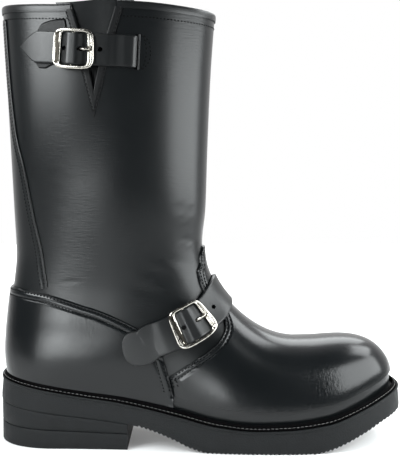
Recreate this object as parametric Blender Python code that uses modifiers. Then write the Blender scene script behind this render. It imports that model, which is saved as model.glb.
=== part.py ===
# Motorcycle boot, the right one of a pair: a tall pull-on boot with a strap and buckle at the
# collar and another over the instep. Sizes are millimetres, and meshes are made in metres.
# X runs from heel to toe, -Y is the outer side of the foot, and the floor is at Z = 0.
import math

import bmesh
import bpy
import numpy as np
from mathutils import Matrix, Vector

MM = 0.001
GAP = 0.3  # clearance between pieces that meet
VAMP_GAP = 0.8  # clearance under the large overlays, whose facets differ from the upper's
VAMP_EDGE_GAP = 1.5
COUNTER_GAP = 0.75
SEAM_GAP = 0.5
SOLE_GAP = 0.5  # clearance over the sole's curved upper edge
WELT_CLEAR = 1.0  # clearance between the overlays and the welt beside them
MERGE = 0.02  # points nearer than this are one

# Driving dimensions
WALL = 2.0  # leather of the upper
VAMP_LEATHER = 1.5
COUNTER_LEATHER = 1.8
BINDING_LEATHER = 0.8
SEAM_LEATHER = 1.0
SEAM_TURN = 0.006  # gap between vamp and counter, as a turn round the upper
FEATHER_RING = 0.009  # where the overlays end above the sole
STRAP_LEATHER = 2.0
CHAPE_LEATHER = 1.5
GUSSET_LEATHER = 1.4
WELT_HEIGHT = 2.6
INSOLE_HEIGHT = 3.5
SOLE_BACK, SOLE_TIP = -157.0, 157.0
HEEL_BREAST = -55.5
LATERAL, MEDIAL = -1, 1
RING_COLUMNS, RING_ROWS = 40, 24


def table(columns, *rows):
    """A short table of sizes, as one array for each named column."""
    return dict(zip(columns.split(), np.array(rows, float).T))


# Outline of the upper's base layer, from the side
BACK = table(
    "z x",
    (49, -150.0), (58, -150.9), (70, -151.8), (84, -151.1), (105, -149.0), (122, -146.6),
    (145, -144.3), (177, -145.5), (246, -148.3), (332, -151.8),
)
FRONT = table(
    "x z",
    (148.6, 38.6), (149.2, 46), (146.6, 58), (140.5, 67.2), (133, 72.8), (122, 76.4), (110, 77.5),
    (95, 76.7), (82, 75.7), (70, 76), (57, 79), (41, 87), (22.2, 103), (10.3, 118), (2.3, 136.5),
    (0.6, 153), (3.3, 177), (4.8, 223), (7.2, 280), (10.2, 323),
)
COLLAR = table(
    "x z", (-152, 331.5), (-125, 328.5), (-98, 326.6), (-69, 328.2), (-40, 327), (-10, 324.5), (11, 323)
)
# Where each ring of the upper starts at the back and ends along the front outline from the toe,
# and how far it droops before it climbs to the ridge of the foot
RINGS = table(
    "ring back front droop",
    (0, 0, 0, 0), (0.1, 12.5, 18, 45), (0.23, 34, 50, 110), (0.3, 48, 78, 135), (0.42, 73, 142, 120),
    (0.5, 88, 180, 70), (0.6, 112, 224, 10), (0.8, 215, 321, 0), (1, 282, 389, 0),
)
# Half widths: of the shaft by height, and of the foot at the feather line by length
SHAFT_WIDTH = table(
    "z half bulge",
    (45, 35.5, 3), (62, 37.8, 2.9), (80, 36.6, 2.7), (100, 34.4, 2.45), (118, 33.6, 2.35), (140, 35.2, 2.2),
    (170, 39, 2.12), (200, 42.5, 2.1), (260, 45.5, 2.1), (340, 47, 2.1),
)
FOOT_WIDTH = table(
    "x outer inner",
    (-120, 36, 36), (-85, 36.5, 35.5), (-40, 36, 32), (0, 41, 36), (30, 46.5, 43), (60, 48, 46.5),
    (90, 46.5, 46.5), (120, 43, 46), (152, 38, 43),
)
FOOT_BULGE = 2.3
FEATHER_TUCK, TUCK_HEIGHT = 0.035, 8.0  # how the leather draws in above the welt
SWING_START = 15.0
TOE_SWING = table("x shift", (15, -0.5), (70, 1), (120, 3.5), (160, 5))  # bend of the foot to the inside
SHAFT_AXIS = np.array([(-70.5, 345), (-71, 260), (-72, 180), (-78, 120), (-90, 50)], float)
FOOT_AXIS = np.array([(-90, 50), (-60, 35), (-17, 26), (13, 19), (40, 17), (66, 18), (97, 22)], float)
AXIS_BLEND = 30.0

# Sole: height of its upper edge and of its underside along the length, and its plan
RIM = table(
    "x z",
    (-157, 50.3), (-135, 47), (-117, 44), (-90, 39.6), (-63, 35.8), (-45, 32.2), (-17, 26), (13, 19.2),
    (40, 16.8), (66, 17.6), (94, 21), (121, 29.5), (139, 36), (157, 41.5),
)
UNDERSIDE = table(
    "x z",
    (-157, 32), (-120, 27.6), (-54, 19.4), (-40, 16), (-21, 9), (-8, 3.2), (6, 0), (84, 0), (94, 1.8),
    (108, 6.5), (121, 12), (139, 19.5), (157, 24),
)
SOLE_WIDTH = table(
    "x outer inner",
    (-118, 39.5, 39.5), (-85, 40.5, 39.5), (-50, 42.5, 38), (-20, 46.5, 39), (10, 51, 45), (40, 54, 51.5),
    (65, 55, 54), (92, 54, 54), (120, 51, 53), (157, 47, 51),
)
HEEL_ROUND, TOE_ROUND = -112.0, 92.0  # where the plan starts to round off
SOLE_FLARE = 1.6
WELT_INSET = 0.3
HEEL_INSET = 0.4
HEEL_SEAM = table("x z", (-157, 15.5), (-55, 12))  # joint between wedge and lift

# Seams of the overlays on the outer side, followed from the front of the ankle down to the feather
VAMP_EDGE = table(
    "x z",
    (-0.8, 149.5), (-2.6, 141.5), (-3.6, 131.4), (-1.8, 123), (2.5, 114), (15, 99.7), (17.6, 90),
    (14, 81.6), (5, 73.5), (-8.5, 65), (-23.6, 55.5),
)
COUNTER_EDGE = table(
    "x z",
    (-150, 120), (-131, 118.5), (-112.4, 115.5), (-90.2, 108.7), (-75.4, 103.9), (-59, 96.7), (-43.5, 88.4),
    (-31, 79),
)
COUNTER_FRONT = table("x z", (-31, 79), (-27.6, 66), (-24.2, 54), (-21, 40))  # where it meets the vamp
SIDE_SEAM = table(
    "x z",
    (-146, 322), (-143.3, 278), (-139.2, 240), (-132, 209.5), (-125.7, 176), (-119.3, 146), (-115.6, 121.5),
)
SIDE_SEAM_WIDTH = 6.5

# V-shaped slit at the top of the outer side, and the gusset behind it
NOTCH_COLUMN = 9  # column of the upper's grid that opens into the slit
NOTCH_X, NOTCH_FOOT, NOTCH_TOP = -76.8, 264.5, 327.5
NOTCH_SHIFT = 0.074  # turn from that column to the slit
NOTCH_HALF = 16.2
NOTCH_CURVE = 1.25
NOTCH_BINDING, NOTCH_TAIL = 5.4, 17.0
GUSSET_MARGIN, GUSSET_RISE, GUSSET_BOW = 9.0, 3.2, 4.0
COLLAR_BINDING = 4.6

# Straps, followed from the tip. Lift is the height of the strap's back over the upper, and offsets
# are counted from the buckle's middle bar towards the strap's fixed end.
TOP_STRAP = {
    "route": table("x z", (-131.5, 300), (-106, 297.8), (-78, 296), (-46.7, 294.8)),
    "buckle": (-92.0, 296.9),
    "width": 23.0,
    "tip": 13.0,
    "tip_power": 1.15,
    "lift": table(
        "offset lift",
        (-42, 1.7), (-20, 2.2), (-7.6, 2.2), (-2, 5), (2, 5), (9.5, 1.9), (24, 1.8), (34, 0.6), (46, 0.4),
    ),
    "holes": table("offset length", (-5.6, 4.0), (5.4, 6.5), (19.6, 4.0)),
    "chape": table(
        "offset half lift",
        (-28.5, 12, 0.3), (-26, 15, 0.3), (-22, 15.5, 0.3), (-12, 11.5, 0.3), (-7, 10.8, 0.5),
        (-4.5, 10.5, 1.5), (-2, 10.5, 1.6),
    ),
    "bar_lift": 2.1,
    "plate_lift": 4.5,
}
INSTEP_STRAP = {
    "route": table("x z", (-59, 74.5), (-35, 82.5), (-9.5, 92.5), (6.5, 103)),
    "crest": 0.016,  # how much higher its ring is at the front
    "buckle": (-9.1, 92.6),
    "width": 26.0,
    "tip": 11.0,
    "tip_power": 2.2,
    "lift": table(
        "offset lift",
        (-52, 4.9), (-20, 4.9), (-7.6, 4.6), (-2, 7.4), (2, 7.4), (9.5, 4.6), (26, 4.6), (150, 4.4),
    ),
    "holes": table("offset length", (-5.0, 4.0), (5.4, 6.5), (21.5, 4.0)),
    "chape": table("offset half lift", (-34, 9.5, 3.05), (-16, 10.5, 3.05), (-6, 11, 2.75), (-2, 11, 2.8)),
    "bar_lift": 4.5,
    "plate_lift": 7.0,
}
BUCKLE_LONG = 29.0
BUCKLE_TIP_BAR, BUCKLE_END_BAR, BUCKLE_SIDE_BAR = 5.6, 3.6, 2.8
BUCKLE_PLATE, BUCKLE_ROD = 2.4, 2.6
BUCKLE_CORNER, WINDOW_CORNER, WINDOW_PLAY = 5.0, 2.0, 0.9
BUCKLE_SHIFT = 1.0  # its middle lies this far past its middle bar
PRONG_WIRE = 2.2
STRAP_STEP = 5.5  # length of one row of a strap's facets
STRAP_STOPS = np.array([-10.0, -7.4, -4.8, -2, 2, 5.5, 9.5])  # and rows where it climbs over the bar
TIP_HALF = 0.4  # half width at the very tip of a strap
HOLE_WIDE, PUNCH_LONG = 4.0, 24.0

BLACK_LEATHER = ((0.012, 0.013, 0.014), 0.38, 0.0)
SOLE_RUBBER = ((0.035, 0.038, 0.040), 0.8, 0.0)
WELT_FINISH = ((0.010, 0.010, 0.011), 0.5, 0.0)
INSOLE_FINISH = ((0.30, 0.20, 0.12), 0.75, 0.0)
NICKEL = ((0.72, 0.70, 0.66), 0.22, 1.0)


def smooth(keys, values, at):
    """Monotone cubic through a table's rows, continued straight past its ends."""
    step = np.diff(keys)
    slope = np.diff(values) / step
    before, after = slope[:-1], slope[1:]
    total = np.where(before * after > 0, before + after, 1.0)
    turn = np.where(before * after > 0, 2 * before * after / total, 0.0)
    tangent = np.concatenate([slope[:1], turn, slope[-1:]])
    at = np.asarray(at, float)
    i = np.clip(np.searchsorted(keys, at) - 1, 0, len(step) - 1)
    t = np.clip((at - keys[i]) / step[i], 0, 1)
    inside = (
        values[i] * (1 + 2 * t) * (1 - t) ** 2
        + values[i + 1] * t**2 * (3 - 2 * t)
        + step[i] * t * (1 - t) * (tangent[i] * (1 - t) - tangent[i + 1] * t)
    )
    past = np.minimum(at - keys[0], 0) * tangent[0] + np.maximum(at - keys[-1], 0) * tangent[-1]
    return inside + past


def look_up(rows, key, value, at):
    return smooth(rows[key], rows[value], at)


def along(points):
    """Length from the first point to each point of a path."""
    return np.concatenate([[0], np.cumsum(np.linalg.norm(np.diff(points, axis=0), axis=1))])


def columns_of(rows, *names):
    return np.stack([rows[name] for name in names], axis=1)


def distance_to(path, x, z):
    """Shortest distance in the side view from points to a path."""
    points = np.stack([x, z], axis=-1)[..., None, :]
    start, leg = path[:-1], np.diff(path, axis=0)
    t = np.clip(((points - start) * leg).sum(-1) / (leg**2).sum(-1), 0, 1)
    return np.linalg.norm(points - start - t[..., None] * leg, axis=-1).min(-1)


# The upper stands just clear of the sole at both ends
for outline in (BACK, FRONT):
    outline["z"][0] = look_up(RIM, "x", "z", outline["x"][0]) + SOLE_GAP
FRONT_LENGTH = along(columns_of(FRONT, "x", "z"))
FEATHER_BACK = BACK["z"][0]


def back_point(length):
    z = FEATHER_BACK + length
    return look_up(BACK, "z", "x", z), z


def front_point(length):
    return smooth(FRONT_LENGTH, FRONT["x"], length), smooth(FRONT_LENGTH, FRONT["z"], length)


BACK_PATH = np.stack(back_point(np.linspace(-6, 290, 200)), axis=1)
FRONT_PATH = np.stack(front_point(np.linspace(-6, FRONT_LENGTH[-1] + 8, 500)), axis=1)


def sag(rows, start, end, across):
    """Height of a table's line over the straight line between two of its places."""
    ends = look_up(rows, "x", "z", [start, end])
    x = start + across * (end - start)
    return look_up(rows, "x", "z", x) - ends[0] - across * (ends[1] - ends[0])


def side_view(across, ring):
    """Place in the side view of the upper, a fraction across from back to front on one ring."""
    back_x, back_z = back_point(look_up(RINGS, "ring", "back", ring))
    front_x, front_z = front_point(look_up(RINGS, "ring", "front", ring))
    feather = sag(RIM, BACK["x"][0], FRONT["x"][0], across) * (1 - ring) ** 1.5
    collar = sag(COLLAR, BACK["x"][-1], FRONT["x"][-1], across) * ring**6
    droop = look_up(RINGS, "ring", "droop", ring) * across**4 * (1 - across)
    x = back_x + across * (front_x - back_x)
    return x, back_z + across * (front_z - back_z) + feather + collar - droop


def half_width(x, z, side):
    """Half width of the upper at a place in the side view: full on the axes, none on the outline."""
    to_shaft, to_foot = distance_to(SHAFT_AXIS, x, z), distance_to(FOOT_AXIS, x, z)
    overlap = np.maximum(AXIS_BLEND - np.abs(to_shaft - to_foot), 0) / AXIS_BLEND
    to_axis = np.maximum(np.minimum(to_shaft, to_foot) - overlap**2 * AXIS_BLEND / 4, 0)
    to_edge = np.minimum(distance_to(BACK_PATH, x, z), distance_to(FRONT_PATH, x, z))
    share = (to_foot + 4) ** 2 / ((to_foot + 4) ** 2 + (to_shaft + 4) ** 2)
    foot = look_up(FOOT_WIDTH, "x", "outer" if side == LATERAL else "inner", x)
    full = share * look_up(SHAFT_WIDTH, "z", "half", z) + (1 - share) * foot
    bulge = share * look_up(SHAFT_WIDTH, "z", "bulge", z) + (1 - share) * FOOT_BULGE
    full = full * (1 - FEATHER_TUCK * np.exp(-(z - look_up(RIM, "x", "z", x)) / TUCK_HEIGHT))
    out = to_axis / (to_axis + to_edge)
    return full * (1 - out**bulge) ** (1 / bulge)


def swing(x):
    return look_up(TOE_SWING, "x", "shift", np.maximum(x, SWING_START))


def skin(turn, ring):
    """Point of the upper: turn is 0 at the back, pi at the front, with the outer side between."""
    turn, ring = np.broadcast_arrays(np.asarray(turn, float), np.asarray(ring, float))
    x, z = side_view((1 - np.cos(turn)) / 2, ring)
    outer = np.sin(turn) >= 0
    y = np.where(outer, LATERAL * half_width(x, z, LATERAL), MEDIAL * half_width(x, z, MEDIAL))
    return np.stack([x, y + swing(x), z], axis=-1)


def skin_normal(turn, ring):
    d_turn, d_ring = 0.02, 0.004
    low, high = np.maximum(ring - d_ring, 0), np.minimum(ring + d_ring, 1)
    around = skin(turn + d_turn, ring) - skin(turn - d_turn, ring)
    up = skin(turn, high) - skin(turn, low)
    normal = np.cross(around, up)
    return normal / np.linalg.norm(normal, axis=-1, keepdims=True)


def lifted(turn, ring, lift):
    return skin(turn, ring) + skin_normal(turn, ring) * np.asarray(lift, float)[..., None]


def locate(x, z):
    """Turn and ring of a place on the outer side, found by Newton steps in the side view."""
    turns, rings = np.meshgrid(np.linspace(0.02, math.pi - 0.02, 60), np.linspace(0, 1, 81), indexing="ij")
    grid_x, grid_z = side_view((1 - np.cos(turns)) / 2, rings)
    nearest = np.argmin((grid_x - x) ** 2 + (grid_z - z) ** 2)
    turn, ring = turns.flat[nearest], rings.flat[nearest]
    for _ in range(12):
        here = np.array(side_view((1 - math.cos(turn)) / 2, ring))
        d_turn = (np.array(side_view((1 - math.cos(turn + 1e-4)) / 2, ring)) - here) / 1e-4
        d_ring = (np.array(side_view((1 - math.cos(turn)) / 2, ring + 1e-4)) - here) / 1e-4
        step = np.linalg.lstsq(np.stack([d_turn, d_ring], axis=1), np.array([x, z]) - here, rcond=None)[0]
        turn, ring = np.clip(turn + step[0], 0, math.pi), np.clip(ring + step[1], 0, 1)
    return turn, ring


def nearest_on_skin(points, turn, ring):
    """Turn and ring of the places on the upper nearest to points, from a close guess."""
    for _ in range(16):
        here = skin(turn, ring)
        d_turn = (skin(turn + 1e-3, ring) - here) / 1e-3
        d_ring = (skin(turn, ring + 1e-3) - here) / 1e-3
        off = points - here
        a, b, c = (d_turn**2).sum(-1), (d_turn * d_ring).sum(-1), (d_ring**2).sum(-1)
        p, q = (off * d_turn).sum(-1), (off * d_ring).sum(-1)
        det = a * c - b * b
        turn = turn + np.clip(0.8 * (p * c - q * b) / det, -0.1, 0.1)
        ring = np.clip(ring + np.clip(0.8 * (q * a - p * b) / det, -0.05, 0.05), 0, 1)
    return turn, ring


def collection(name):
    made = bpy.data.collections.new(name)
    bpy.context.scene.collection.children.link(made)
    return made


def finish_material(name, finish):
    color, roughness, metallic = finish
    made = bpy.data.materials.new(name)
    made.use_nodes = True
    shader = made.node_tree.nodes["Principled BSDF"]
    shader.inputs["Base Color"].default_value = (*color, 1)
    shader.inputs["Roughness"].default_value = roughness
    shader.inputs["Metallic"].default_value = metallic
    return made


def add_object(name, bm, finish, home):
    mesh = bpy.data.meshes.new(name)
    bm.to_mesh(mesh)
    bm.free()
    mesh.shade_smooth()
    mesh.set_sharp_from_angle(angle=math.radians(40))
    mesh.materials.append(finish_material(name, finish))
    made = bpy.data.objects.new(name, mesh)
    home.objects.link(made)
    return made


def mapped_grid(columns, rows, place):
    """A grid that runs from 0 to 1 both ways, moved to the points that place gives in millimetres."""
    bm = bmesh.new()
    bmesh.ops.create_grid(bm, x_segments=columns, y_segments=rows, size=1)
    flat = np.array([vert.co[:2] for vert in bm.verts])
    points = place((flat[:, 0] + 1) / 2, (flat[:, 1] + 1) / 2)
    for vert, point in zip(bm.verts, points):
        vert.co = point * MM
    return bm


def thicken(made, thickness, outward):
    solid = made.modifiers.new("Wall", "SOLIDIFY")
    solid.thickness = thickness * MM
    solid.offset = 1 if outward else -1
    return made


def overlay(name, columns, rows, place, thickness, finish, home):
    """Leather laid on the upper: place gives turn, ring and lift for a fraction across and up."""
    bm = mapped_grid(columns, rows, lambda u, v: lifted(*place(u, v)))
    bmesh.ops.remove_doubles(bm, verts=bm.verts, dist=MERGE * MM)
    return thicken(add_object(name, bm, finish, home), thickness, outward=True)


COLUMN_TURN = 2 * math.pi * NOTCH_COLUMN / RING_COLUMNS
NOTCH_TURN = COLUMN_TURN + NOTCH_SHIFT


def notch_opening(z):
    return NOTCH_HALF * np.clip((z - NOTCH_FOOT) / (NOTCH_TOP - NOTCH_FOOT), 0, 1.2) ** NOTCH_CURVE


def notch_spread(ring, extra=0.0):
    """Half the angle that the slit takes at a ring, with a margin in millimetres beside it."""
    x, z = side_view((1 - np.cos(NOTCH_TURN)) / 2, ring)
    depth = side_view(1.0, ring)[0] - side_view(0.0, ring)[0]
    return (notch_opening(z) + extra) / (depth / 2 * math.sin(NOTCH_TURN))


def ring_turn(u, ring):
    """Turn at a fraction round the upper, from one edge of the slit to the other."""
    reach = 0.2
    near_start = np.clip(1 - u / reach, 0, 1) ** 2
    near_end = np.clip(1 - (1 - u) / reach, 0, 1) ** 2
    shift = NOTCH_SHIFT * (near_start + near_end)
    return COLUMN_TURN + 2 * math.pi * u + shift + notch_spread(ring) * (near_start - near_end)


def make_upper(home):
    bm = mapped_grid(RING_COLUMNS, RING_ROWS, lambda u, v: skin(ring_turn(u, v), v))
    bmesh.ops.remove_doubles(bm, verts=bm.verts, dist=MERGE * MM)
    return thicken(add_object("upper", bm, BLACK_LEATHER, home), WALL, outward=False)


def edge_rings(rows):
    """Turn and ring of each row of an overlay's seam."""
    return np.array([locate(x, z) for x, z in columns_of(rows, "x", "z")])


def make_vamp(home):
    edge = np.concatenate([edge_rings(VAMP_EDGE), edge_rings(COUNTER_FRONT)[2:]])[::-1]
    rings, turns = edge[:, 1], edge[:, 0] + SEAM_TURN
    shared = np.arange(1, int(rings[-1] * RING_ROWS)) / RING_ROWS
    levels = np.concatenate([[FEATHER_RING], shared, [rings[-1]]])  # the upper's own rings, and the ends

    step = 2 * math.pi / RING_COLUMNS
    columns = math.ceil((math.pi - turns.min()) / step)

    def place(u, v):
        ring = np.interp(v * (len(levels) - 1), np.arange(len(levels)), levels)
        side = math.pi - smooth(rings, turns, ring)
        out = (2 * u - 1) * columns * step  # the upper's own columns, as far as the seam
        lift = np.where(np.abs(out) < side, VAMP_GAP, VAMP_EDGE_GAP)
        return math.pi + np.clip(out, -side, side), ring, lift

    return overlay("vamp", 2 * columns, len(levels) - 1, place, VAMP_LEATHER, BLACK_LEATHER, home)


def make_counter(home):
    top, front = edge_rings(COUNTER_EDGE), edge_rings(COUNTER_FRONT)[::-1]
    corner = top[-1]

    def place(u, v):
        out = np.abs(2 * u - 1)
        side = smooth(front[:, 1], front[:, 0], v * corner[1])
        ring = FEATHER_RING + v * (smooth(top[:, 0] / corner[0], top[:, 1], out) - FEATHER_RING)
        return (2 * u - 1) * side, ring, np.full_like(out, COUNTER_GAP)

    return overlay("counter", 26, 6, place, COUNTER_LEATHER, BLACK_LEATHER, home)


def ring_share(height):
    """Height below the collar, as a share of the rings."""
    return height * (RINGS["ring"][-1] - RINGS["ring"][-2]) / (RINGS["back"][-1] - RINGS["back"][-2])


def make_collar_binding(home):
    def place(u, v):
        ring = 1 - (1 - v) * ring_share(COLLAR_BINDING)
        return ring_turn(u, ring), ring, np.full_like(u, GAP)

    return overlay("collar_binding", RING_COLUMNS, 1, place, BINDING_LEATHER, BLACK_LEATHER, home)


def make_notch_binding(home):
    foot_ring = locate(NOTCH_X, NOTCH_FOOT)[1]
    tail_ring = locate(NOTCH_X, NOTCH_FOOT - NOTCH_TAIL)[1]
    top_ring = 1 - ring_share(COLLAR_BINDING + 2 * GAP)

    def place(u, v):
        leg = np.abs(2 * u - 1)
        side = np.sign(2 * u - 1)
        inner_ring = foot_ring + (top_ring - foot_ring) * leg
        outer_ring = tail_ring + (top_ring - tail_ring) * leg
        widen = notch_spread(outer_ring, NOTCH_BINDING * np.minimum(leg * 4, 1))
        turn = NOTCH_TURN + side * (notch_spread(inner_ring) * v + widen * (1 - v))
        return turn, inner_ring * v + outer_ring * (1 - v), np.full_like(turn, GAP)

    return overlay("notch_binding", 24, 1, place, BINDING_LEATHER, BLACK_LEATHER, home)


def make_gusset(home):
    foot_ring = locate(NOTCH_X, NOTCH_FOOT - GUSSET_MARGIN)[1]

    def place(u, v):
        ring = foot_ring + (1 - foot_ring) * v
        turn = NOTCH_TURN + (2 * u - 1) * notch_spread(ring, GUSSET_MARGIN)
        bow = GUSSET_BOW * v * np.cos(math.pi * (u - 0.5)) ** 2
        points = lifted(turn, ring, -WALL - GAP - GUSSET_LEATHER - bow)
        points[:, 2] += GUSSET_RISE * v**3
        return points

    made = add_object("gusset", mapped_grid(8, 6, place), BLACK_LEATHER, home)
    return thicken(made, GUSSET_LEATHER, outward=True)


def make_side_seam(name, side, home):
    line = edge_rings(SIDE_SEAM)
    width = SIDE_SEAM_WIDTH

    def place(u, v):
        ring = line[-1, 1] + (line[0, 1] - line[-1, 1]) * v
        front = smooth(line[::-1, 1], line[::-1, 0], ring)
        here = skin(front, ring)
        speed = np.linalg.norm(skin(front - 0.05, ring) - here, axis=-1) / 0.05
        turn = front - width / speed * (1 - u)
        turn = turn if side == LATERAL else -(front - width / speed * u)
        return turn, ring, np.full_like(turn, SEAM_GAP)

    return overlay(name, 1, 18, place, SEAM_LEATHER, BLACK_LEATHER, home)


class Band:
    """A strap's middle line on the upper, which gives places along, across and above it."""

    def __init__(self, strap, over_the_front):
        stops = edge_rings(strap["route"])
        if over_the_front:
            last = stops[-1]
            crest = np.array([math.pi, last[1] + strap["crest"]])
            mirrored = np.stack([2 * math.pi - stops[::-1, 0], stops[::-1, 1]], axis=1)
            stops = np.concatenate([stops, [crest], mirrored])
        knots = along(skin(stops[:, 0], stops[:, 1]))
        fine = np.linspace(0, knots[-1], 400)
        self.turn, self.ring = smooth(knots, stops[:, 0], fine), smooth(knots, stops[:, 1], fine)
        self.line = skin(self.turn, self.ring)
        self.length = along(self.line)
        x, z = strap["buckle"]
        outer = self.line[:, 1] < 0
        miss = (self.line[:, 0] - x) ** 2 + (self.line[:, 2] - z) ** 2 + np.where(outer, 0, 1e6)
        self.buckle = self.length[np.argmin(miss)]

    def middle(self, along_it):
        """Point of the middle line at a length from the tip."""
        return np.stack([np.interp(along_it, self.length, self.line[:, k]) for k in range(3)], axis=-1)

    def at(self, along_it, across, lift):
        """Point at a length from the tip, an offset across and a height over the upper."""
        along_it, across, lift = np.broadcast_arrays(
            np.asarray(along_it, float), np.asarray(across, float), np.asarray(lift, float)
        )
        turn = np.interp(along_it, self.length, self.turn)
        ring = np.interp(along_it, self.length, self.ring)
        step = 1.0
        tangent = self.middle(along_it + step) - self.middle(along_it - step)
        tangent = tangent / np.linalg.norm(tangent, axis=-1, keepdims=True)
        sideways = np.cross(skin_normal(turn, ring), tangent)
        target = skin(turn, ring) + sideways * across[..., None]
        beyond = (along_it - np.clip(along_it, 0, self.length[-1]))[..., None] * tangent
        turn, ring = nearest_on_skin(target + beyond, turn, ring)
        return lifted(turn, ring, lift)

    def frame(self, where, lift):
        """Place and axes on the middle line: along the strap, across it and up from the upper."""
        here, ahead, beside = self.at([where, where + 1, where], [0, 0, 1], [lift] * 3)
        axis_x = Vector(ahead - here).normalized()
        axis_z = axis_x.cross(Vector(beside - here)).normalized()
        axes = Matrix((axis_x, axis_z.cross(axis_x), axis_z)).transposed().to_4x4()
        return Matrix.Translation(Vector(here * MM)) @ axes


def make_strap(name, strap, band, home, cutters):
    length = band.length[-1]
    half = strap["width"] / 2

    near = band.buckle + STRAP_STOPS
    rest = np.linspace(0, length, round(length / STRAP_STEP) + 1)
    stops = np.union1d(rest[(rest < near[0] - 2) | (rest > near[-1] + 2)], near)

    def place(u, v):
        run = np.interp(u * (len(stops) - 1), np.arange(len(stops)), stops)
        taper = 1 - np.clip(1 - run / strap["tip"], 0, 1) ** strap["tip_power"]
        lift = look_up(strap["lift"], "offset", "lift", run - band.buckle)
        side = np.maximum(half * taper ** (1 / strap["tip_power"]), TIP_HALF)
        return band.at(run, (2 * v - 1) * side, lift)

    made = add_object(name, mapped_grid(len(stops) - 1, 4, place), BLACK_LEATHER, home)
    thicken(made, STRAP_LEATHER, outward=True)
    for index, (offset, long) in enumerate(columns_of(strap["holes"], "offset", "length")):
        punch = make_punch(f"{name}_punch_{index}", band, band.buckle + offset, long, cutters)
        cut = made.modifiers.new(f"Hole {index}", "BOOLEAN")
        cut.operation = "DIFFERENCE"
        cut.object = punch
    return made


def make_punch(name, band, where, long, cutters):
    """A cutter that stands up through the strap."""
    bm = bmesh.new()
    stretch = Matrix.Diagonal((long * MM, HOLE_WIDE * MM, PUNCH_LONG * MM, 1))
    upright = band.frame(where, 0) @ stretch
    bmesh.ops.create_cone(bm, cap_ends=True, segments=10, radius1=0.5, radius2=0.5, depth=1, matrix=upright)
    return as_cutter(add_object(name, bm, NICKEL, cutters))


def as_cutter(made):
    made.hide_render = True
    made.display_type = "WIRE"
    return made


def make_chape(name, strap, band, home):
    rows = strap["chape"]
    start, end = rows["offset"][0], rows["offset"][-1]

    def place(u, v):
        offset = start + (end - start) * u
        half = look_up(rows, "offset", "half", offset)
        return band.at(band.buckle + offset, (2 * v - 1) * half, look_up(rows, "offset", "lift", offset))

    made = add_object(name, mapped_grid(10, 4, place), BLACK_LEATHER, home)
    return thicken(made, CHAPE_LEATHER, outward=True)


def rounded_rectangle(turn, start, end, half, corner):
    """Points round a rectangle with rounded corners, from a fraction of a turn."""
    angle = 2 * math.pi * turn
    power = 2 * half / corner
    cos, sin = np.cos(angle), np.sin(angle)
    round_off = (np.abs(cos) ** power + np.abs(sin) ** power) ** (-1 / power)
    middle, long = (start + end) / 2, (end - start) / 2
    return middle + long * round_off * cos, half * round_off * sin


def make_buckle(name, strap, band, home, cutters):
    back, front = BUCKLE_SHIFT - BUCKLE_LONG / 2, BUCKLE_SHIFT + BUCKLE_LONG / 2
    window = strap["width"] / 2 + WINDOW_PLAY

    def place(u, v):
        out_u, out_v = rounded_rectangle(-u, back, front, window + BUCKLE_SIDE_BAR, BUCKLE_CORNER)
        start, end = back + BUCKLE_TIP_BAR, front - BUCKLE_END_BAR
        in_u, in_v = rounded_rectangle(-u, start, end, window, WINDOW_CORNER)
        offset, across = out_u * v + in_u * (1 - v), out_v * v + in_v * (1 - v)
        return band.at(band.buckle + offset, across, strap["plate_lift"])

    bm = mapped_grid(32, 1, place)
    bmesh.ops.remove_doubles(bm, verts=bm.verts, dist=MERGE * MM)
    made = thicken(add_object(name, bm, NICKEL, home), BUCKLE_PLATE, outward=True)
    radius, reach = BUCKLE_ROD / 2, window + BUCKLE_SIDE_BAR / 2

    def place_bar(u, v):
        angle = 2 * math.pi * u
        lift = strap["bar_lift"] + radius + radius * np.sin(angle)
        return band.at(band.buckle + radius * np.cos(angle), (2 * v - 1) * reach, lift)

    bar = mapped_grid(8, 4, place_bar)
    bmesh.ops.remove_doubles(bar, verts=bar.verts, dist=MERGE * MM)
    bmesh.ops.holes_fill(bar, edges=bar.edges)
    bmesh.ops.recalc_face_normals(bar, faces=bar.faces)
    rod = as_cutter(add_object(name + "_middle_bar", bar, NICKEL, cutters))
    join = made.modifiers.new("Middle bar", "BOOLEAN")
    join.operation = "UNION"
    join.object = rod
    return made


def make_prong(name, strap, band, home):
    bar, plate = strap["bar_lift"], strap["plate_lift"]
    rest = plate + BUCKLE_PLATE + GAP + PRONG_WIRE / 2
    route = table(
        "offset lift",
        (BUCKLE_ROD / 2 + PRONG_WIRE / 2 + 2 * GAP, bar + 0.3), (5.2, bar + 1.9), (7.2, bar + 3.9),
        (9.2, rest - 0.6), (11, rest), (14.6, rest),
    )
    curve = bpy.data.curves.new(name, "CURVE")
    curve.dimensions = "3D"
    curve.bevel_depth = PRONG_WIRE / 2 * MM
    curve.bevel_resolution = 2
    curve.use_fill_caps = True
    line = curve.splines.new("POLY")
    points = band.at(band.buckle + route["offset"], 0.0, route["lift"]) * MM
    line.points.add(len(points) - 1)
    for slot, point in zip(line.points, points):
        slot.co = (*point, 1)
    curve.materials.append(finish_material(name, NICKEL))
    made = bpy.data.objects.new(name, curve)
    home.objects.link(made)
    return made


def sole_half(x, side, inset):
    """Half width of the sole's plan, rounded off at heel and toe."""
    rows = look_up(SOLE_WIDTH, "x", "outer" if side == LATERAL else "inner", x) - inset
    heel = np.clip((HEEL_ROUND - x) / (HEEL_ROUND - SOLE_BACK - inset), 0, 1)
    toe = np.clip((x - TOE_ROUND) / (SOLE_TIP - inset - TOE_ROUND), 0, 1)
    return rows * (1 - np.maximum(heel, toe) ** 2.2) ** (1 / 2.2)


def sole_point(x, across, inset):
    """Plan point of the sole: across runs from -1 at the outer edge to 1 at the inner edge."""
    half = np.where(across < 0, sole_half(x, LATERAL, inset), sole_half(x, MEDIAL, inset))
    return across * half + swing(x)


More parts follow.
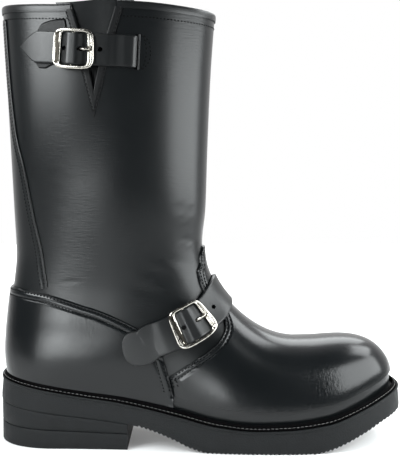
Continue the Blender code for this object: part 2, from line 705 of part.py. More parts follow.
def mapped_block(columns, rows, place):
    """A flat grid given a second layer, then moved to the points that place gives for each layer."""
    bm = bmesh.new()
    bmesh.ops.create_grid(bm, x_segments=columns, y_segments=rows, size=1)
    bmesh.ops.solidify(bm, geom=bm.faces[:], thickness=1)
    flat = np.array([vert.co for vert in bm.verts])
    top = flat[:, 2] > flat[:, 2].mean()
    for vert, point in zip(bm.verts, place(flat[:, 0], flat[:, 1], top)):
        vert.co = point * MM
    bmesh.ops.remove_doubles(bm, verts=bm.verts, dist=MERGE * MM)
    bmesh.ops.recalc_face_normals(bm, faces=bm.faces)
    return bm


def make_outsole(home):
    def place(u, v, top):
        inset = np.where(top, SOLE_FLARE, 0.0)
        middle, half = (SOLE_BACK + SOLE_TIP) / 2, (SOLE_TIP - SOLE_BACK) / 2
        x = middle + np.sin(math.pi / 2 * u) * (half - inset)
        z = np.where(top, look_up(RIM, "x", "z", x), look_up(UNDERSIDE, "x", "z", x))
        return np.stack([x, sole_point(x, v, inset), z], axis=1)

    return add_object("outsole", mapped_block(44, 4, place), SOLE_RUBBER, home)


def make_heel_layer(name, top_z, bottom_z, home):
    def place(u, v, top):
        x = HEEL_BREAST + np.sin(math.pi / 4 * (u + 1)) * (SOLE_BACK + HEEL_INSET - HEEL_BREAST)
        z = np.where(top, top_z(x), bottom_z(x))
        return np.stack([x, sole_point(x, v, HEEL_INSET), z], axis=1)

    return add_object(name, mapped_block(10, 4, place), SOLE_RUBBER, home)


def make_heel(home):
    make_heel_layer(
        "heel_wedge",
        lambda x: look_up(UNDERSIDE, "x", "z", x) - GAP,
        lambda x: look_up(HEEL_SEAM, "x", "z", x) + GAP / 2,
        home,
    )
    make_heel_layer("heel_lift", lambda x: look_up(HEEL_SEAM, "x", "z", x) - GAP / 2, lambda x: 0 * x, home)


def feather_line(turn, out):
    """Plan of the upper's lower edge, moved outwards level with the floor."""
    edge = skin(turn, 0 * turn)
    ahead = skin(turn + 0.01, 0 * turn) - skin(turn - 0.01, 0 * turn)
    sideways = np.stack([ahead[:, 1], -ahead[:, 0], 0 * turn], axis=1)
    return edge + out * sideways / np.linalg.norm(sideways, axis=1, keepdims=True)


def make_welt(home):
    clear = COUNTER_GAP + COUNTER_LEATHER + WELT_CLEAR

    def place(u, v):
        turn = 2 * math.pi * (u % 1)  # its last column is its first
        inner = feather_line(turn, clear)
        inset = SOLE_FLARE + WELT_INSET
        x = SOLE_BACK + inset + (1 - np.cos(turn)) / 2 * (SOLE_TIP - SOLE_BACK - 2 * inset)
        y = sole_point(x, np.where(np.sin(turn) >= 0, LATERAL, MEDIAL), inset)
        points = inner * v[:, None] + np.stack([x, y, 0 * x], axis=1) * (1 - v)[:, None]
        points[:, 2] = look_up(RIM, "x", "z", points[:, 0]) + SOLE_GAP
        return points

    bm = mapped_grid(64, 1, place)
    bmesh.ops.remove_doubles(bm, verts=bm.verts, dist=MERGE * MM)
    return thicken(add_object("welt", bm, WELT_FINISH, home), WELT_HEIGHT, outward=True)


def make_insole(home):
    turn = np.linspace(0, math.pi, 120)
    outer, inner = feather_line(turn, -WALL - 2 * GAP), feather_line(-turn, -WALL - 2 * GAP)
    back, front = outer[0, 0], outer[-1, 0]

    def place(u, v, top):
        x = (back + front) / 2 + np.sin(math.pi / 2 * u) * (front - back) / 2
        sides = [np.interp(x, line[:, 0], line[:, 1]) for line in (outer, inner)]
        edge, middle = np.where(v < 0, *sides), (sides[0] + sides[1]) / 2
        y = middle + np.abs(v) * (edge - middle)
        z = look_up(RIM, "x", "z", x) + SOLE_GAP + np.where(top, INSOLE_HEIGHT, 0)
        return np.stack([x, y, z], axis=1)

    return add_object("insole", mapped_block(26, 4, place), INSOLE_FINISH, home)


def main():
    for old in list(bpy.data.objects):
        bpy.data.objects.remove(old, do_unlink=True)
    home, cutters = collection("motorcycle_boot"), collection("cutters")
    make_upper(home)
    make_vamp(home)
    make_counter(home)
    make_collar_binding(home)
    make_notch_binding(home)
    make_gusset(home)
    make_side_seam("side_seam_outer", LATERAL, home)
    make_side_seam("side_seam_inner", MEDIAL, home)
    for place, strap, over_the_front in (("top", TOP_STRAP, False), ("instep", INSTEP_STRAP, True)):
        band = Band(strap, over_the_front)
        make_strap(f"{place}_strap", strap, band, home, cutters)
        make_chape(f"{place}_chape", strap, band, home)
        make_buckle(f"{place}_buckle", strap, band, home, cutters)
        make_prong(f"{place}_prong", strap, band, home)
    make_outsole(home)
    make_heel(home)
    make_welt(home)
    make_insole(home)


main()
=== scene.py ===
import math

import bmesh
import bpy
import numpy as np
from mathutils import Matrix, Vector


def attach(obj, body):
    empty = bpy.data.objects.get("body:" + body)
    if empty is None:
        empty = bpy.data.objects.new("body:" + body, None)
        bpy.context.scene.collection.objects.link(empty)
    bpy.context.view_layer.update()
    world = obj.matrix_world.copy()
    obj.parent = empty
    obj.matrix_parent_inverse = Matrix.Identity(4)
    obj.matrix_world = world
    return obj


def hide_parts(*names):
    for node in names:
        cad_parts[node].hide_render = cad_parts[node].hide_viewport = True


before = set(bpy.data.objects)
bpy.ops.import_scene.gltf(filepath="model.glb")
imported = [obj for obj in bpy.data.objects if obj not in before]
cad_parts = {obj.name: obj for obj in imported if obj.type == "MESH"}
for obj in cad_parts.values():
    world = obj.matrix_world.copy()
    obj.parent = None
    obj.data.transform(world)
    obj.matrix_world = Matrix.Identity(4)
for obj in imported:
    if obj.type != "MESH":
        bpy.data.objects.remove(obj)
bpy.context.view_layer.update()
mm = 0.001  # everything below is in millimetres until it goes into a mesh
outerSide, innerSide = -1, 1  # the outer side of this right boot faces -Y
fullTurn = 2 * math.pi


def table(columns, *rows):
    return dict(zip(columns.split(), np.array(rows, float).T))


# Side view, widths and axes of the boot, the same values that the solids are cut from
bootForm = {
    "back": table(
        "z x",
        (49, -150), (58, -150.9), (70, -151.8), (84, -151.1), (105, -149), (122, -146.6), (145, -144.3),
        (177, -145.5), (246, -148.3), (332, -151.8),
    ),
    "front": table(
        "x z",
        (148.6, 38.6), (149.2, 46), (146.6, 58), (140.5, 67.2), (133, 72.8), (122, 76.4), (110, 77.5),
        (95, 76.7), (82, 75.7), (70, 76), (57, 79), (41, 87), (22.2, 103), (10.3, 118), (2.3, 136.5),
        (0.6, 153), (3.3, 177), (4.8, 223), (7.2, 280), (10.2, 323),
    ),
    "collar": table(
        "x z",
        (-152, 331.5), (-125, 328.5), (-98, 326.6), (-69, 328.2), (-40, 327), (-10, 324.5), (11, 323),
    ),
    "rings": table(
        "ring back front droop",
        (0, 0, 0, 0), (0.1, 12.5, 18, 45), (0.23, 34, 50, 110), (0.3, 48, 78, 135), (0.42, 73, 142, 120),
        (0.5, 88, 180, 70), (0.6, 112, 224, 10), (0.8, 215, 321, 0), (1, 282, 389, 0),
    ),
    "shaftWidth": table(
        "z half bulge",
        (45, 35.5, 3), (62, 37.8, 2.9), (80, 36.6, 2.7), (100, 34.4, 2.45), (118, 33.6, 2.35),
        (140, 35.2, 2.2), (170, 39, 2.12), (200, 42.5, 2.1), (260, 45.5, 2.1), (340, 47, 2.1),
    ),
    "footWidth": table(
        "x outer inner",
        (-120, 36, 36), (-85, 36.5, 35.5), (-40, 36, 32), (0, 41, 36), (30, 46.5, 43), (60, 48, 46.5),
        (90, 46.5, 46.5), (120, 43, 46), (152, 38, 43),
    ),
    "footBulge": 2.3,
    "tuck": 0.035,
    "tuckHeight": 8.0,
    "swing": table("x shift", (15, -0.5), (70, 1), (120, 3.5), (160, 5)),
    "swingStart": 15.0,
    "shaftAxis": np.array([(-70.5, 345), (-71, 260), (-72, 180), (-78, 120), (-90, 50)], float),
    "footAxis": np.array([(-90, 50), (-60, 35), (-17, 26), (13, 19), (40, 17), (66, 18), (97, 22)], float),
    "axisBlend": 30.0,
    "soleGap": 0.5,
    "wall": 2.0,
    "featherFade": 1.5,  # how fast the sole's curve, the collar's curve and the droop of the rings fade
    "collarFade": 6,
    "droopFade": 4,
    "edgeSlack": 0.004,
    "axisSoft": 4,
}
soleForm = {
    "back": -157.0,
    "tip": 157.0,
    "breast": -55.5,
    "rim": table(
        "x z",
        (-157, 50.3), (-135, 47), (-117, 44), (-90, 39.6), (-63, 35.8), (-45, 32.2), (-17, 26), (13, 19.2),
        (40, 16.8), (66, 17.6), (94, 21), (121, 29.5), (139, 36), (157, 41.5),
    ),
    "underside": table(
        "x z",
        (-157, 32), (-120, 27.6), (-54, 19.4), (-40, 16), (-21, 9), (-8, 3.2), (6, 0), (84, 0), (94, 1.8),
        (108, 6.5), (121, 12), (139, 19.5), (157, 24),
    ),
    "width": table(
        "x outer inner",
        (-118, 39.5, 39.5), (-85, 40.5, 39.5), (-50, 42.5, 38), (-20, 46.5, 39), (10, 51, 45),
        (40, 54, 51.5), (65, 55, 54), (92, 54, 54), (120, 51, 53), (157, 47, 51),
    ),
    "heelRound": -112.0,
    "toeRound": 92.0,
    "roundPower": 2.2,
    "insetReach": 60,
    "heelSeam": table("x z", (-157, 15.5), (-55, 12)),
}


def smooth(keys, values, at):
    step = np.diff(keys)
    slope = np.diff(values) / step
    before, after = slope[:-1], slope[1:]
    total = np.where(before * after > 0, before + after, 1.0)
    turn = np.where(before * after > 0, 2 * before * after / total, 0.0)
    tangent = np.concatenate([slope[:1], turn, slope[-1:]])
    at = np.asarray(at, float)
    i = np.clip(np.searchsorted(keys, at) - 1, 0, len(step) - 1)
    t = np.clip((at - keys[i]) / step[i], 0, 1)
    inside = (
        values[i] * (1 + 2 * t) * (1 - t) ** 2
        + values[i + 1] * t**2 * (3 - 2 * t)
        + step[i] * t * (1 - t) * (tangent[i] * (1 - t) - tangent[i + 1] * t)
    )
    past = np.minimum(at - keys[0], 0) * tangent[0] + np.maximum(at - keys[-1], 0) * tangent[-1]
    return inside + past


def lookUp(rows, key, value, at):
    return smooth(rows[key], rows[value], at)


def lengths(points):
    return np.concatenate([[0], np.cumsum(np.linalg.norm(np.diff(points, axis=0), axis=1))])


def columnsOf(rows, *names):
    return np.stack([rows[name] for name in names], axis=1)


def distanceTo(path, points):
    # shortest distance from points to a path, a few thousand points at a time
    flat = points.reshape(-1, path.shape[1])
    start, leg = path[:-1], np.diff(path, axis=0)
    size = np.maximum((leg**2).sum(-1), 1e-9)
    found = np.empty(len(flat))
    atOnce = 3000
    for first in range(0, len(flat), atOnce):
        some = flat[first:first + atOnce, None, :]
        t = np.clip(((some - start) * leg).sum(-1) / size, 0, 1)
        found[first:first + atOnce] = np.linalg.norm(some - start - t[..., None] * leg, axis=-1).min(-1)
    return found.reshape(points.shape[:-1])


for outline in ("back", "front"):
    ends = bootForm[outline]
    ends["z"][0] = lookUp(soleForm["rim"], "x", "z", ends["x"][0]) + bootForm["soleGap"]
frontLength = lengths(columnsOf(bootForm["front"], "x", "z"))


def backPoint(length):
    z = bootForm["back"]["z"][0] + length
    return lookUp(bootForm["back"], "z", "x", z), z


def frontPoint(length):
    front = bootForm["front"]
    return smooth(frontLength, front["x"], length), smooth(frontLength, front["z"], length)


backPath = np.stack(backPoint(np.linspace(-6, 290, 200)), axis=1)
frontPath = np.stack(frontPoint(np.linspace(-6, frontLength[-1] + 8, 500)), axis=1)


def sag(rows, start, end, across):
    ends = lookUp(rows, "x", "z", [start, end])
    x = start + across * (end - start)
    return lookUp(rows, "x", "z", x) - ends[0] - across * (ends[1] - ends[0])


def sideView(across, ring):
    rings, back, front = bootForm["rings"], bootForm["back"], bootForm["front"]
    backX, backZ = backPoint(lookUp(rings, "ring", "back", ring))
    frontX, frontZ = frontPoint(lookUp(rings, "ring", "front", ring))
    feather = sag(soleForm["rim"], back["x"][0], front["x"][0], across)
    feather = feather * (1 - ring) ** bootForm["featherFade"]
    collar = sag(bootForm["collar"], back["x"][-1], front["x"][-1], across) * ring ** bootForm["collarFade"]
    droop = lookUp(rings, "ring", "droop", ring) * across ** bootForm["droopFade"] * (1 - across)
    x = backX + across * (frontX - backX)
    return x, backZ + across * (frontZ - backZ) + feather + collar - droop


def halfWidth(x, z, side):
    places = np.stack([x, z], axis=-1)
    toShaft, toFoot = distanceTo(bootForm["shaftAxis"], places), distanceTo(bootForm["footAxis"], places)
    blend = bootForm["axisBlend"]
    overlap = np.maximum(blend - np.abs(toShaft - toFoot), 0) / blend
    toAxis = np.maximum(np.minimum(toShaft, toFoot) - overlap**2 * blend / 4, 0)
    toEdge = np.minimum(distanceTo(backPath, places), distanceTo(frontPath, places))
    toEdge = np.maximum(toEdge - bootForm["edgeSlack"], 0)
    nearFoot, nearShaft = toFoot + bootForm["axisSoft"], toShaft + bootForm["axisSoft"]
    share = nearFoot**2 / (nearFoot**2 + nearShaft**2)
    foot = lookUp(bootForm["footWidth"], "x", side, x)
    full = share * lookUp(bootForm["shaftWidth"], "z", "half", z) + (1 - share) * foot
    bulge = share * lookUp(bootForm["shaftWidth"], "z", "bulge", z) + (1 - share) * bootForm["footBulge"]
    overRim = z - lookUp(soleForm["rim"], "x", "z", x)
    full = full * (1 - bootForm["tuck"] * np.exp(-overRim / bootForm["tuckHeight"]))
    out = toAxis / (toAxis + toEdge)
    return full * (1 - out**bulge) ** (1 / bulge)


def swing(x):
    return lookUp(bootForm["swing"], "x", "shift", np.maximum(x, bootForm["swingStart"]))


# The skin is worked out once on a close grid and read from it with cubics after that
skinCells = {"round": 200, "up": 160, "ironing": 6}


def makeSkinGrid(cells):
    turn = np.arange(cells["round"])[:, None] * fullTurn / cells["round"]
    ring = np.linspace(0, 1, cells["up"] + 1)[None, :]
    turn, ring = np.broadcast_arrays(turn, ring)
    x, z = sideView((1 - np.cos(turn)) / 2, ring)
    outer = np.sin(turn) >= 0
    y = np.where(outer, -halfWidth(x, z, "outer"), halfWidth(x, z, "inner")) + swing(x)
    grid = np.stack([x, y, z], axis=-1)
    for _ in range(cells["ironing"]):
        grid = (np.roll(grid, 1, axis=0) + 2 * grid + np.roll(grid, -1, axis=0)) / 4
        grid[:, 1:-1] = (grid[:, :-2] + 2 * grid[:, 1:-1] + grid[:, 2:]) / 4
    first, last = 2 * grid[:, :1] - grid[:, 1:2], 2 * grid[:, -1:] - grid[:, -2:-1]
    return np.concatenate([first, grid, last], axis=1)


skinGrid = makeSkinGrid(skinCells)
print("skin grid", skinGrid.shape)


def cubicShares(t):
    return (
        (-t + 2 * t**2 - t**3) / 2,
        (2 - 5 * t**2 + 3 * t**3) / 2,
        (t + 4 * t**2 - 3 * t**3) / 2,
        (-(t**2) + t**3) / 2,
    )


# turn is 0 at the back and pi at the front, by the outer side; ring is 0 at the sole and 1 at the collar
def skin(turn, ring):
    turn, ring = np.broadcast_arrays(np.asarray(turn, float), np.asarray(ring, float))
    columns, rows = skinCells["round"], skinCells["up"]
    a = (turn % fullTurn) / fullTurn * columns
    b = np.clip(ring, 0, 1) * rows
    i = np.floor(a).astype(int)
    j = np.minimum(np.floor(b).astype(int), rows - 1)
    roundShares, upShares = cubicShares(a - i), cubicShares(b - j)
    found = np.zeros(turn.shape + (3,))
    for p in range(4):
        for q in range(4):
            found += (roundShares[p] * upShares[q])[..., None] * skinGrid[(i + p - 1) % columns, j + q]
    return found


def skinNormal(turn, ring):
    dTurn, dRing = 0.02, 0.004
    low, high = np.maximum(ring - dRing, 0), np.minimum(ring + dRing, 1)
    around = skin(turn + dTurn, ring) - skin(turn - dTurn, ring)
    up = skin(turn, high) - skin(turn, low)
    normal = np.cross(around, up)
    return normal / np.linalg.norm(normal, axis=-1, keepdims=True)


def lifted(turn, ring, lift):
    return skin(turn, ring) + skinNormal(turn, ring) * np.asarray(lift, float)[..., None]


def locate(x, z):
    turns, rings = np.meshgrid(np.linspace(0.02, math.pi - 0.02, 60), np.linspace(0, 1, 81), indexing="ij")
    gridX, gridZ = sideView((1 - np.cos(turns)) / 2, rings)
    nearest = np.argmin((gridX - x) ** 2 + (gridZ - z) ** 2)
    turn, ring = turns.flat[nearest], rings.flat[nearest]
    tiny = 1e-4
    for _ in range(12):
        here = np.array(sideView((1 - math.cos(turn)) / 2, ring))
        dTurn = (np.array(sideView((1 - math.cos(turn + tiny)) / 2, ring)) - here) / tiny
        dRing = (np.array(sideView((1 - math.cos(turn)) / 2, ring + tiny)) - here) / tiny
        step = np.linalg.lstsq(np.stack([dTurn, dRing], axis=1), np.array([x, z]) - here, rcond=None)[0]
        turn, ring = np.clip(turn + step[0], 0, math.pi), np.clip(ring + step[1], 0, 1)
    return turn, ring


def locateAll(rows):
    return np.array([locate(x, z) for x, z in columnsOf(rows, "x", "z")])


def nearestOnSkin(points, turn, ring):
    tiny = 1e-3
    for _ in range(14):
        here = skin(turn, ring)
        dTurn = (skin(turn + tiny, ring) - here) / tiny
        dRing = (here - skin(turn, ring - tiny)) / tiny
        off = points - here
        a, b, c = (dTurn**2).sum(-1), (dTurn * dRing).sum(-1), (dRing**2).sum(-1)
        p, q = (off * dTurn).sum(-1), (off * dRing).sum(-1)
        det = np.maximum(a * c - b * b, 1e-9)
        turn = turn + np.clip(0.8 * (p * c - q * b) / det, -0.1, 0.1)
        ring = np.clip(ring + np.clip(0.8 * (q * a - p * b) / det, -0.05, 0.05), 0.002, 1)
    return turn, ring


# A line drawn on the skin through stops of turn and ring: seams, straps and rows of stitches follow one
class SkinLine:
    def __init__(self, stops, points=400):
        knots = lengths(skin(stops[:, 0], stops[:, 1]))
        fine = np.linspace(0, knots[-1], points)
        self.turn, self.ring = smooth(knots, stops[:, 0], fine), smooth(knots, stops[:, 1], fine)
        self.line = skin(self.turn, self.ring)
        self.run = lengths(self.line)
        self.long = self.run[-1]

    def middle(self, run):
        return np.stack([np.interp(run, self.run, self.line[:, k]) for k in range(3)], axis=-1)

    def nearest(self, x, z):
        miss = (self.line[:, 0] - x) ** 2 + (self.line[:, 2] - z) ** 2
        miss = miss + np.where(self.line[:, 1] < 0, 0, 1e6)  # on the outer side only
        return self.run[np.argmin(miss)]

    def spot(self, run, across):
        run, across = np.broadcast_arrays(np.asarray(run, float), np.asarray(across, float))
        turn, ring = np.interp(run, self.run, self.turn), np.interp(run, self.run, self.ring)
        inside = np.clip(run, 0, self.long)
        tangent = self.middle(np.minimum(inside + 1, self.long)) - self.middle(np.maximum(inside - 1, 0))
        tangent = tangent / np.linalg.norm(tangent, axis=-1, keepdims=True)
        sideways = np.cross(skinNormal(turn, ring), tangent)
        target = skin(turn, ring) + sideways * across[..., None] + (run - inside)[..., None] * tangent
        return nearestOnSkin(target, turn, ring)

    def at(self, run, across, lift):
        run, across, lift = np.broadcast_arrays(
            np.asarray(run, float), np.asarray(across, float), np.asarray(lift, float)
        )
        turn, ring = self.spot(run, across)
        return lifted(turn, ring, lift)

    def axes(self, run, lift):
        here, ahead, beside = self.at([run, run + 1, run], [0, 0, 1], [lift] * 3)
        axisX = Vector(ahead - here).normalized()
        axisZ = axisX.cross(Vector(beside - here)).normalized()
        turned = Matrix((axisX, axisZ.cross(axisX), axisZ)).transposed().to_4x4()
        return Matrix.Translation(Vector(here * mm)) @ turned


# Nodes of the finishes

def addNode(tree, kind, sockets=None, **settings):
    node = tree.nodes.new(kind)
    for name, value in settings.items():
        setattr(node, name, value)
    for name, value in (sockets or {}).items():
        if isinstance(value, bpy.types.NodeSocket):
            tree.links.new(value, node.inputs[name])
        else:
            node.inputs[name].default_value = value
    return node


def noise(tree, vector, scale, detail):
    sockets = {"Vector": vector, "Scale": scale, "Detail": detail}
    return addNode(tree, "ShaderNodeTexNoise", sockets).outputs["Fac"]


def bump(tree, height, strength, depth, under=None):
    sockets = {"Height": height, "Strength": strength, "Distance": depth}
    if under:
        sockets["Normal"] = under
    return addNode(tree, "ShaderNodeBump", sockets).outputs["Normal"]


def newFinish(name):
    made = bpy.data.materials.new(name)
    made.use_nodes = True
    tree = made.node_tree
    place = addNode(tree, "ShaderNodeTexCoord").outputs["Object"]
    return made, tree, tree.nodes["Principled BSDF"], place


def ramp(tree, value, low, high, start, end):
    node = addNode(tree, "ShaderNodeMapRange", {"Value": value})
    node.inputs["From Min"].default_value = start
    node.inputs["From Max"].default_value = end
    node.inputs["To Min"].default_value = low
    node.inputs["To Max"].default_value = high
    return node.outputs["Result"]


def colorAndRough(tree, shader, look, tint, roughBy, roughFrom=0.3, roughTo=0.7):
    tree.links.new(mixColor(tree, tint, look["deep"], look["pale"]), shader.inputs["Base Color"])
    tree.links.new(ramp(tree, roughBy, *look["rough"], roughFrom, roughTo), shader.inputs["Roughness"])


def mixColor(tree, share, first, second):
    node = addNode(tree, "ShaderNodeMix", data_type="RGBA")
    tree.links.new(share, node.inputs["Factor"])
    for name, color in (("A", first), ("B", second)):
        socket = [s for s in node.inputs if s.name == name and s.type == "RGBA"][0]
        socket.default_value = (*color, 1)
    return [s for s in node.outputs if s.type == "RGBA"][0]


leatherLooks = {
    "shaft": {
        "deep": (0.0034, 0.0042, 0.0047), "pale": (0.0052, 0.0061, 0.0066), "rough": (0.29, 0.33),
        "pores": 1500, "poreDepth": 0.04, "grain": 420, "grainDepth": 0.03, "gloss": 0.36,
        "wrinkles": (130, 130, 800), "wrinkleDepth": 0.17, "patches": 17,
    },
    "lasted": {
        "deep": (0.0034, 0.0042, 0.0047), "pale": (0.0050, 0.0058, 0.0064), "rough": (0.20, 0.24),
        "pores": 1500, "poreDepth": 0.03, "grain": 420, "grainDepth": 0.02, "gloss": 0.36,
        "wrinkles": (760, 760, 110), "wrinkleDepth": 0.36, "patches": 19,
    },
    "strap": {
        "deep": (0.0046, 0.0052, 0.0056), "pale": (0.0072, 0.0079, 0.0084), "rough": (0.33, 0.39),
        "pores": 1700, "poreDepth": 0.04, "grain": 420, "grainDepth": 0.03, "gloss": 0.42,
        "wrinkles": (300, 300, 300), "wrinkleDepth": 0.05, "patches": 30,
    },
    "binding": {
        "deep": (0.0026, 0.0029, 0.0032), "pale": (0.0048, 0.0052, 0.0056), "rough": (0.44, 0.52),
        "pores": 1500, "poreDepth": 0.05, "grain": 420, "grainDepth": 0.05, "gloss": 0.22,
        "wrinkles": (300, 300, 300), "wrinkleDepth": 0.05, "patches": 30,
    },
    # the welt's leather is near black and almost without gloss: partly its own black, partly painted shade
    # of the crevice between upper and sole
    "welt": {
        "deep": (0.0008, 0.0008, 0.0009), "pale": (0.0018, 0.0018, 0.0020), "rough": (0.60, 0.75),
        "pores": 1300, "poreDepth": 0.08, "grain": 240, "grainDepth": 0.08, "gloss": 0.02,
        "wrinkles": (300, 300, 300), "wrinkleDepth": 0.05, "patches": 30,
    },
    "lining": {
        "deep": (0.030, 0.027, 0.024), "pale": (0.055, 0.050, 0.044), "rough": (0.62, 0.80),
        "pores": 1200, "poreDepth": 0.10, "grain": 160, "grainDepth": 0.10, "gloss": 0.3,
        "wrinkles": (90, 90, 300), "wrinkleDepth": 0.20, "patches": 20,
    },
    "insole": {
        "deep": (0.22, 0.14, 0.08), "pale": (0.36, 0.25, 0.15), "rough": (0.62, 0.82),
        "pores": 1100, "poreDepth": 0.10, "grain": 120, "grainDepth": 0.10, "gloss": 0.3,
        "wrinkles": (200, 200, 200), "wrinkleDepth": 0.10, "patches": 20,
    },
}


# what all the leathers share: broad clouds of tint, where wrinkles start, and heights in metres
hideForm = {
    "clouds": 24, "cloudsFrom": 0.32, "cloudsTo": 0.72, "patchFrom": 0.46, "patchTo": 0.66,
    "poreHigh": 0.0003, "grainHigh": 0.0006, "wrinkleHigh": 0.0006,
}


def leather(name, look):
    hide = hideForm
    made, tree, shader, place = newFinish(name)
    tint = ramp(tree, noise(tree, place, hide["clouds"], 3), 0, 1, hide["cloudsFrom"], hide["cloudsTo"])
    pores = addNode(tree, "ShaderNodeTexVoronoi", {"Vector": place, "Scale": look["pores"]})
    grain = noise(tree, place, look["grain"], 4)
    colorAndRough(tree, shader, look, tint, grain)
    # fine wrinkles, drawn out one way and only in patches
    drawn = addNode(tree, "ShaderNodeMapping", {"Vector": place, "Scale": look["wrinkles"]})
    wrinkles = noise(tree, drawn.outputs["Vector"], 1.0, 2)
    patches = noise(tree, place, look["patches"], 1)
    wrinkled = ramp(tree, patches, 0, look["wrinkleDepth"], hide["patchFrom"], hide["patchTo"])
    normal = None
    for height, strength, depth in (
        (pores.outputs["Distance"], look["poreDepth"], hide["poreHigh"]),
        (grain, look["grainDepth"], hide["grainHigh"]),
        (wrinkles, wrinkled, hide["wrinkleHigh"]),
    ):
        normal = bump(tree, height, strength, depth, normal)
    tree.links.new(normal, shader.inputs["Normal"])
    shader.inputs["Specular IOR Level"].default_value = look["gloss"]
    return made


rubberLook = {
    "deep": (0.0042, 0.0049, 0.0053), "pale": (0.0090, 0.0100, 0.0107), "rough": (0.55, 0.75),
    "pebble": 950, "gloss": 0.22,
}


def rubber(name, look):
    made, tree, shader, place = newFinish(name)
    pebbleSockets = {"Vector": place, "Scale": look["pebble"]}
    pebble = addNode(tree, "ShaderNodeTexVoronoi", pebbleSockets, feature="SMOOTH_F1")
    dust = noise(tree, place, 160, 5)
    colorAndRough(tree, shader, look, ramp(tree, dust, 0, 1, 0.3, 0.7), dust)
    tree.links.new(bump(tree, pebble.outputs["Distance"], 0.35, 0.0004), shader.inputs["Normal"])
    shader.inputs["Specular IOR Level"].default_value = look["gloss"]
    return made


nickelLooks = {
    "nickel": {"deep": (0.40, 0.38, 0.34), "pale": (0.56, 0.535, 0.49), "rough": (0.18, 0.30)},
    "dullNickel": {"deep": (0.014, 0.0125, 0.0105), "pale": (0.06, 0.054, 0.045), "rough": (0.40, 0.60)},
}


def nickel(name, look):
    made, tree, shader, place = newFinish(name)
    haze = noise(tree, place, 420, 4)
    colorAndRough(tree, shader, look, ramp(tree, haze, 0, 1, 0.35, 0.65), haze)
    tree.links.new(bump(tree, haze, 0.05, 0.0003), shader.inputs["Normal"])
    shader.inputs["Metallic"].default_value = 1.0
    return made


threadLooks = {
    "dark": {
        "deep": (0.0010, 0.0011, 0.0012), "pale": (0.0035, 0.0038, 0.0040), "rough": (0.7, 0.85),
        "gloss": 0.1,
    },
    "pale": {"deep": (0.07, 0.068, 0.066), "pale": (0.20, 0.195, 0.19), "rough": (0.6, 0.8), "gloss": 0.3},
}


def thread(name, look):
    made, tree, shader, place = newFinish(name)
    strands = addNode(tree, "ShaderNodeTexWave", {"Vector": place, "Scale": 900, "Distortion": 2.0})
    twist = strands.outputs["Fac"]
    colorAndRough(tree, shader, look, twist, twist, 0, 1)
    tree.links.new(bump(tree, twist, 0.3, 0.0002), shader.inputs["Normal"])
    shader.inputs["Specular IOR Level"].default_value = look["gloss"]
    return made


finishes = {name + "Leather": leather(name + "Leather", look) for name, look in leatherLooks.items()}
finishes["soleRubber"] = rubber("soleRubber", rubberLook)
finishes.update({name: nickel(name, look) for name, look in nickelLooks.items()})
finishes["darkThread"] = thread("darkThread", threadLooks["dark"])
finishes["paleThread"] = thread("paleThread", threadLooks["pale"])
print("finishes", len(finishes))


# Piece builders

def addPiece(name, bm, finish, nodes=(), sharp=40):
    mesh = bpy.data.meshes.new(name)
    bm.to_mesh(mesh)
    bm.free()
    mesh.shade_smooth()
    mesh.set_sharp_from_angle(angle=math.radians(sharp))
    mesh.materials.append(finishes[finish])
    piece = bpy.data.objects.new(name, mesh)
    bpy.context.scene.collection.objects.link(piece)
    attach(piece, "root")
    if nodes:
        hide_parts(*nodes)
    return piece


def closeUp(bm, apart=0.01):
    bmesh.ops.remove_doubles(bm, verts=bm.verts, dist=apart * mm)
    bmesh.ops.dissolve_degenerate(bm, dist=apart * mm / 4, edges=bm.edges)
    bmesh.ops.recalc_face_normals(bm, faces=bm.faces)
    return bm


def capEnds(bm, apart=0.01):
    bmesh.ops.remove_doubles(bm, verts=bm.verts, dist=apart * mm)
    bmesh.ops.holes_fill(bm, edges=[edge for edge in bm.edges if edge.is_boundary])
    bmesh.ops.recalc_face_normals(bm, faces=bm.faces)
    return bm


# A flat grid bent to the points that place gives for fractions along both sides
def bentGrid(columns, rows, place):
    bm = bmesh.new()
    bmesh.ops.create_grid(bm, x_segments=columns, y_segments=rows, size=1)
    flat = np.array([vert.co[:2] for vert in bm.verts])
    for vert, point in zip(bm.verts, place((flat[:, 0] + 1) / 2, (flat[:, 1] + 1) / 2)):
        vert.co = point * mm
    return bm


# The same with a second layer under it: place also says which points are on the outer layer
def bentBlock(columns, rows, place):
    bm = bmesh.new()
    bmesh.ops.create_grid(bm, x_segments=columns, y_segments=rows, size=1)
    bmesh.ops.solidify(bm, geom=bm.faces[:], thickness=1)
    flat = np.array([vert.co for vert in bm.verts])
    outer = flat[:, 2] > flat[:, 2].mean()
    points = place((flat[:, 0] + 1) / 2, (flat[:, 1] + 1) / 2, outer)
    for vert, point in zip(bm.verts, points):
        vert.co = point * mm
    return bm


def roundEdge(distance, width):
    near = np.clip(1 - distance / width, 0, 1)
    return np.sqrt(1 - near**2)


def grooves(distance, rows, width, depth):
    return -depth * sum(np.exp(-(((distance - row) / width) ** 2)) for row in rows)


def sewnTop(form, toEdge):
    top = form["thick"] * roundEdge(toEdge, form["edgeWidth"])
    return top + grooves(toEdge, form["sewnRows"], form["grooveWidth"], form["grooveDepth"])


def spread(fractions, share):
    # pulls fractions of 0 to 1 towards both ends
    return (1 - share) * fractions + share * (1 - np.cos(math.pi * fractions)) / 2


# Upper: one wall with the slit left open, creased where the ankle bends

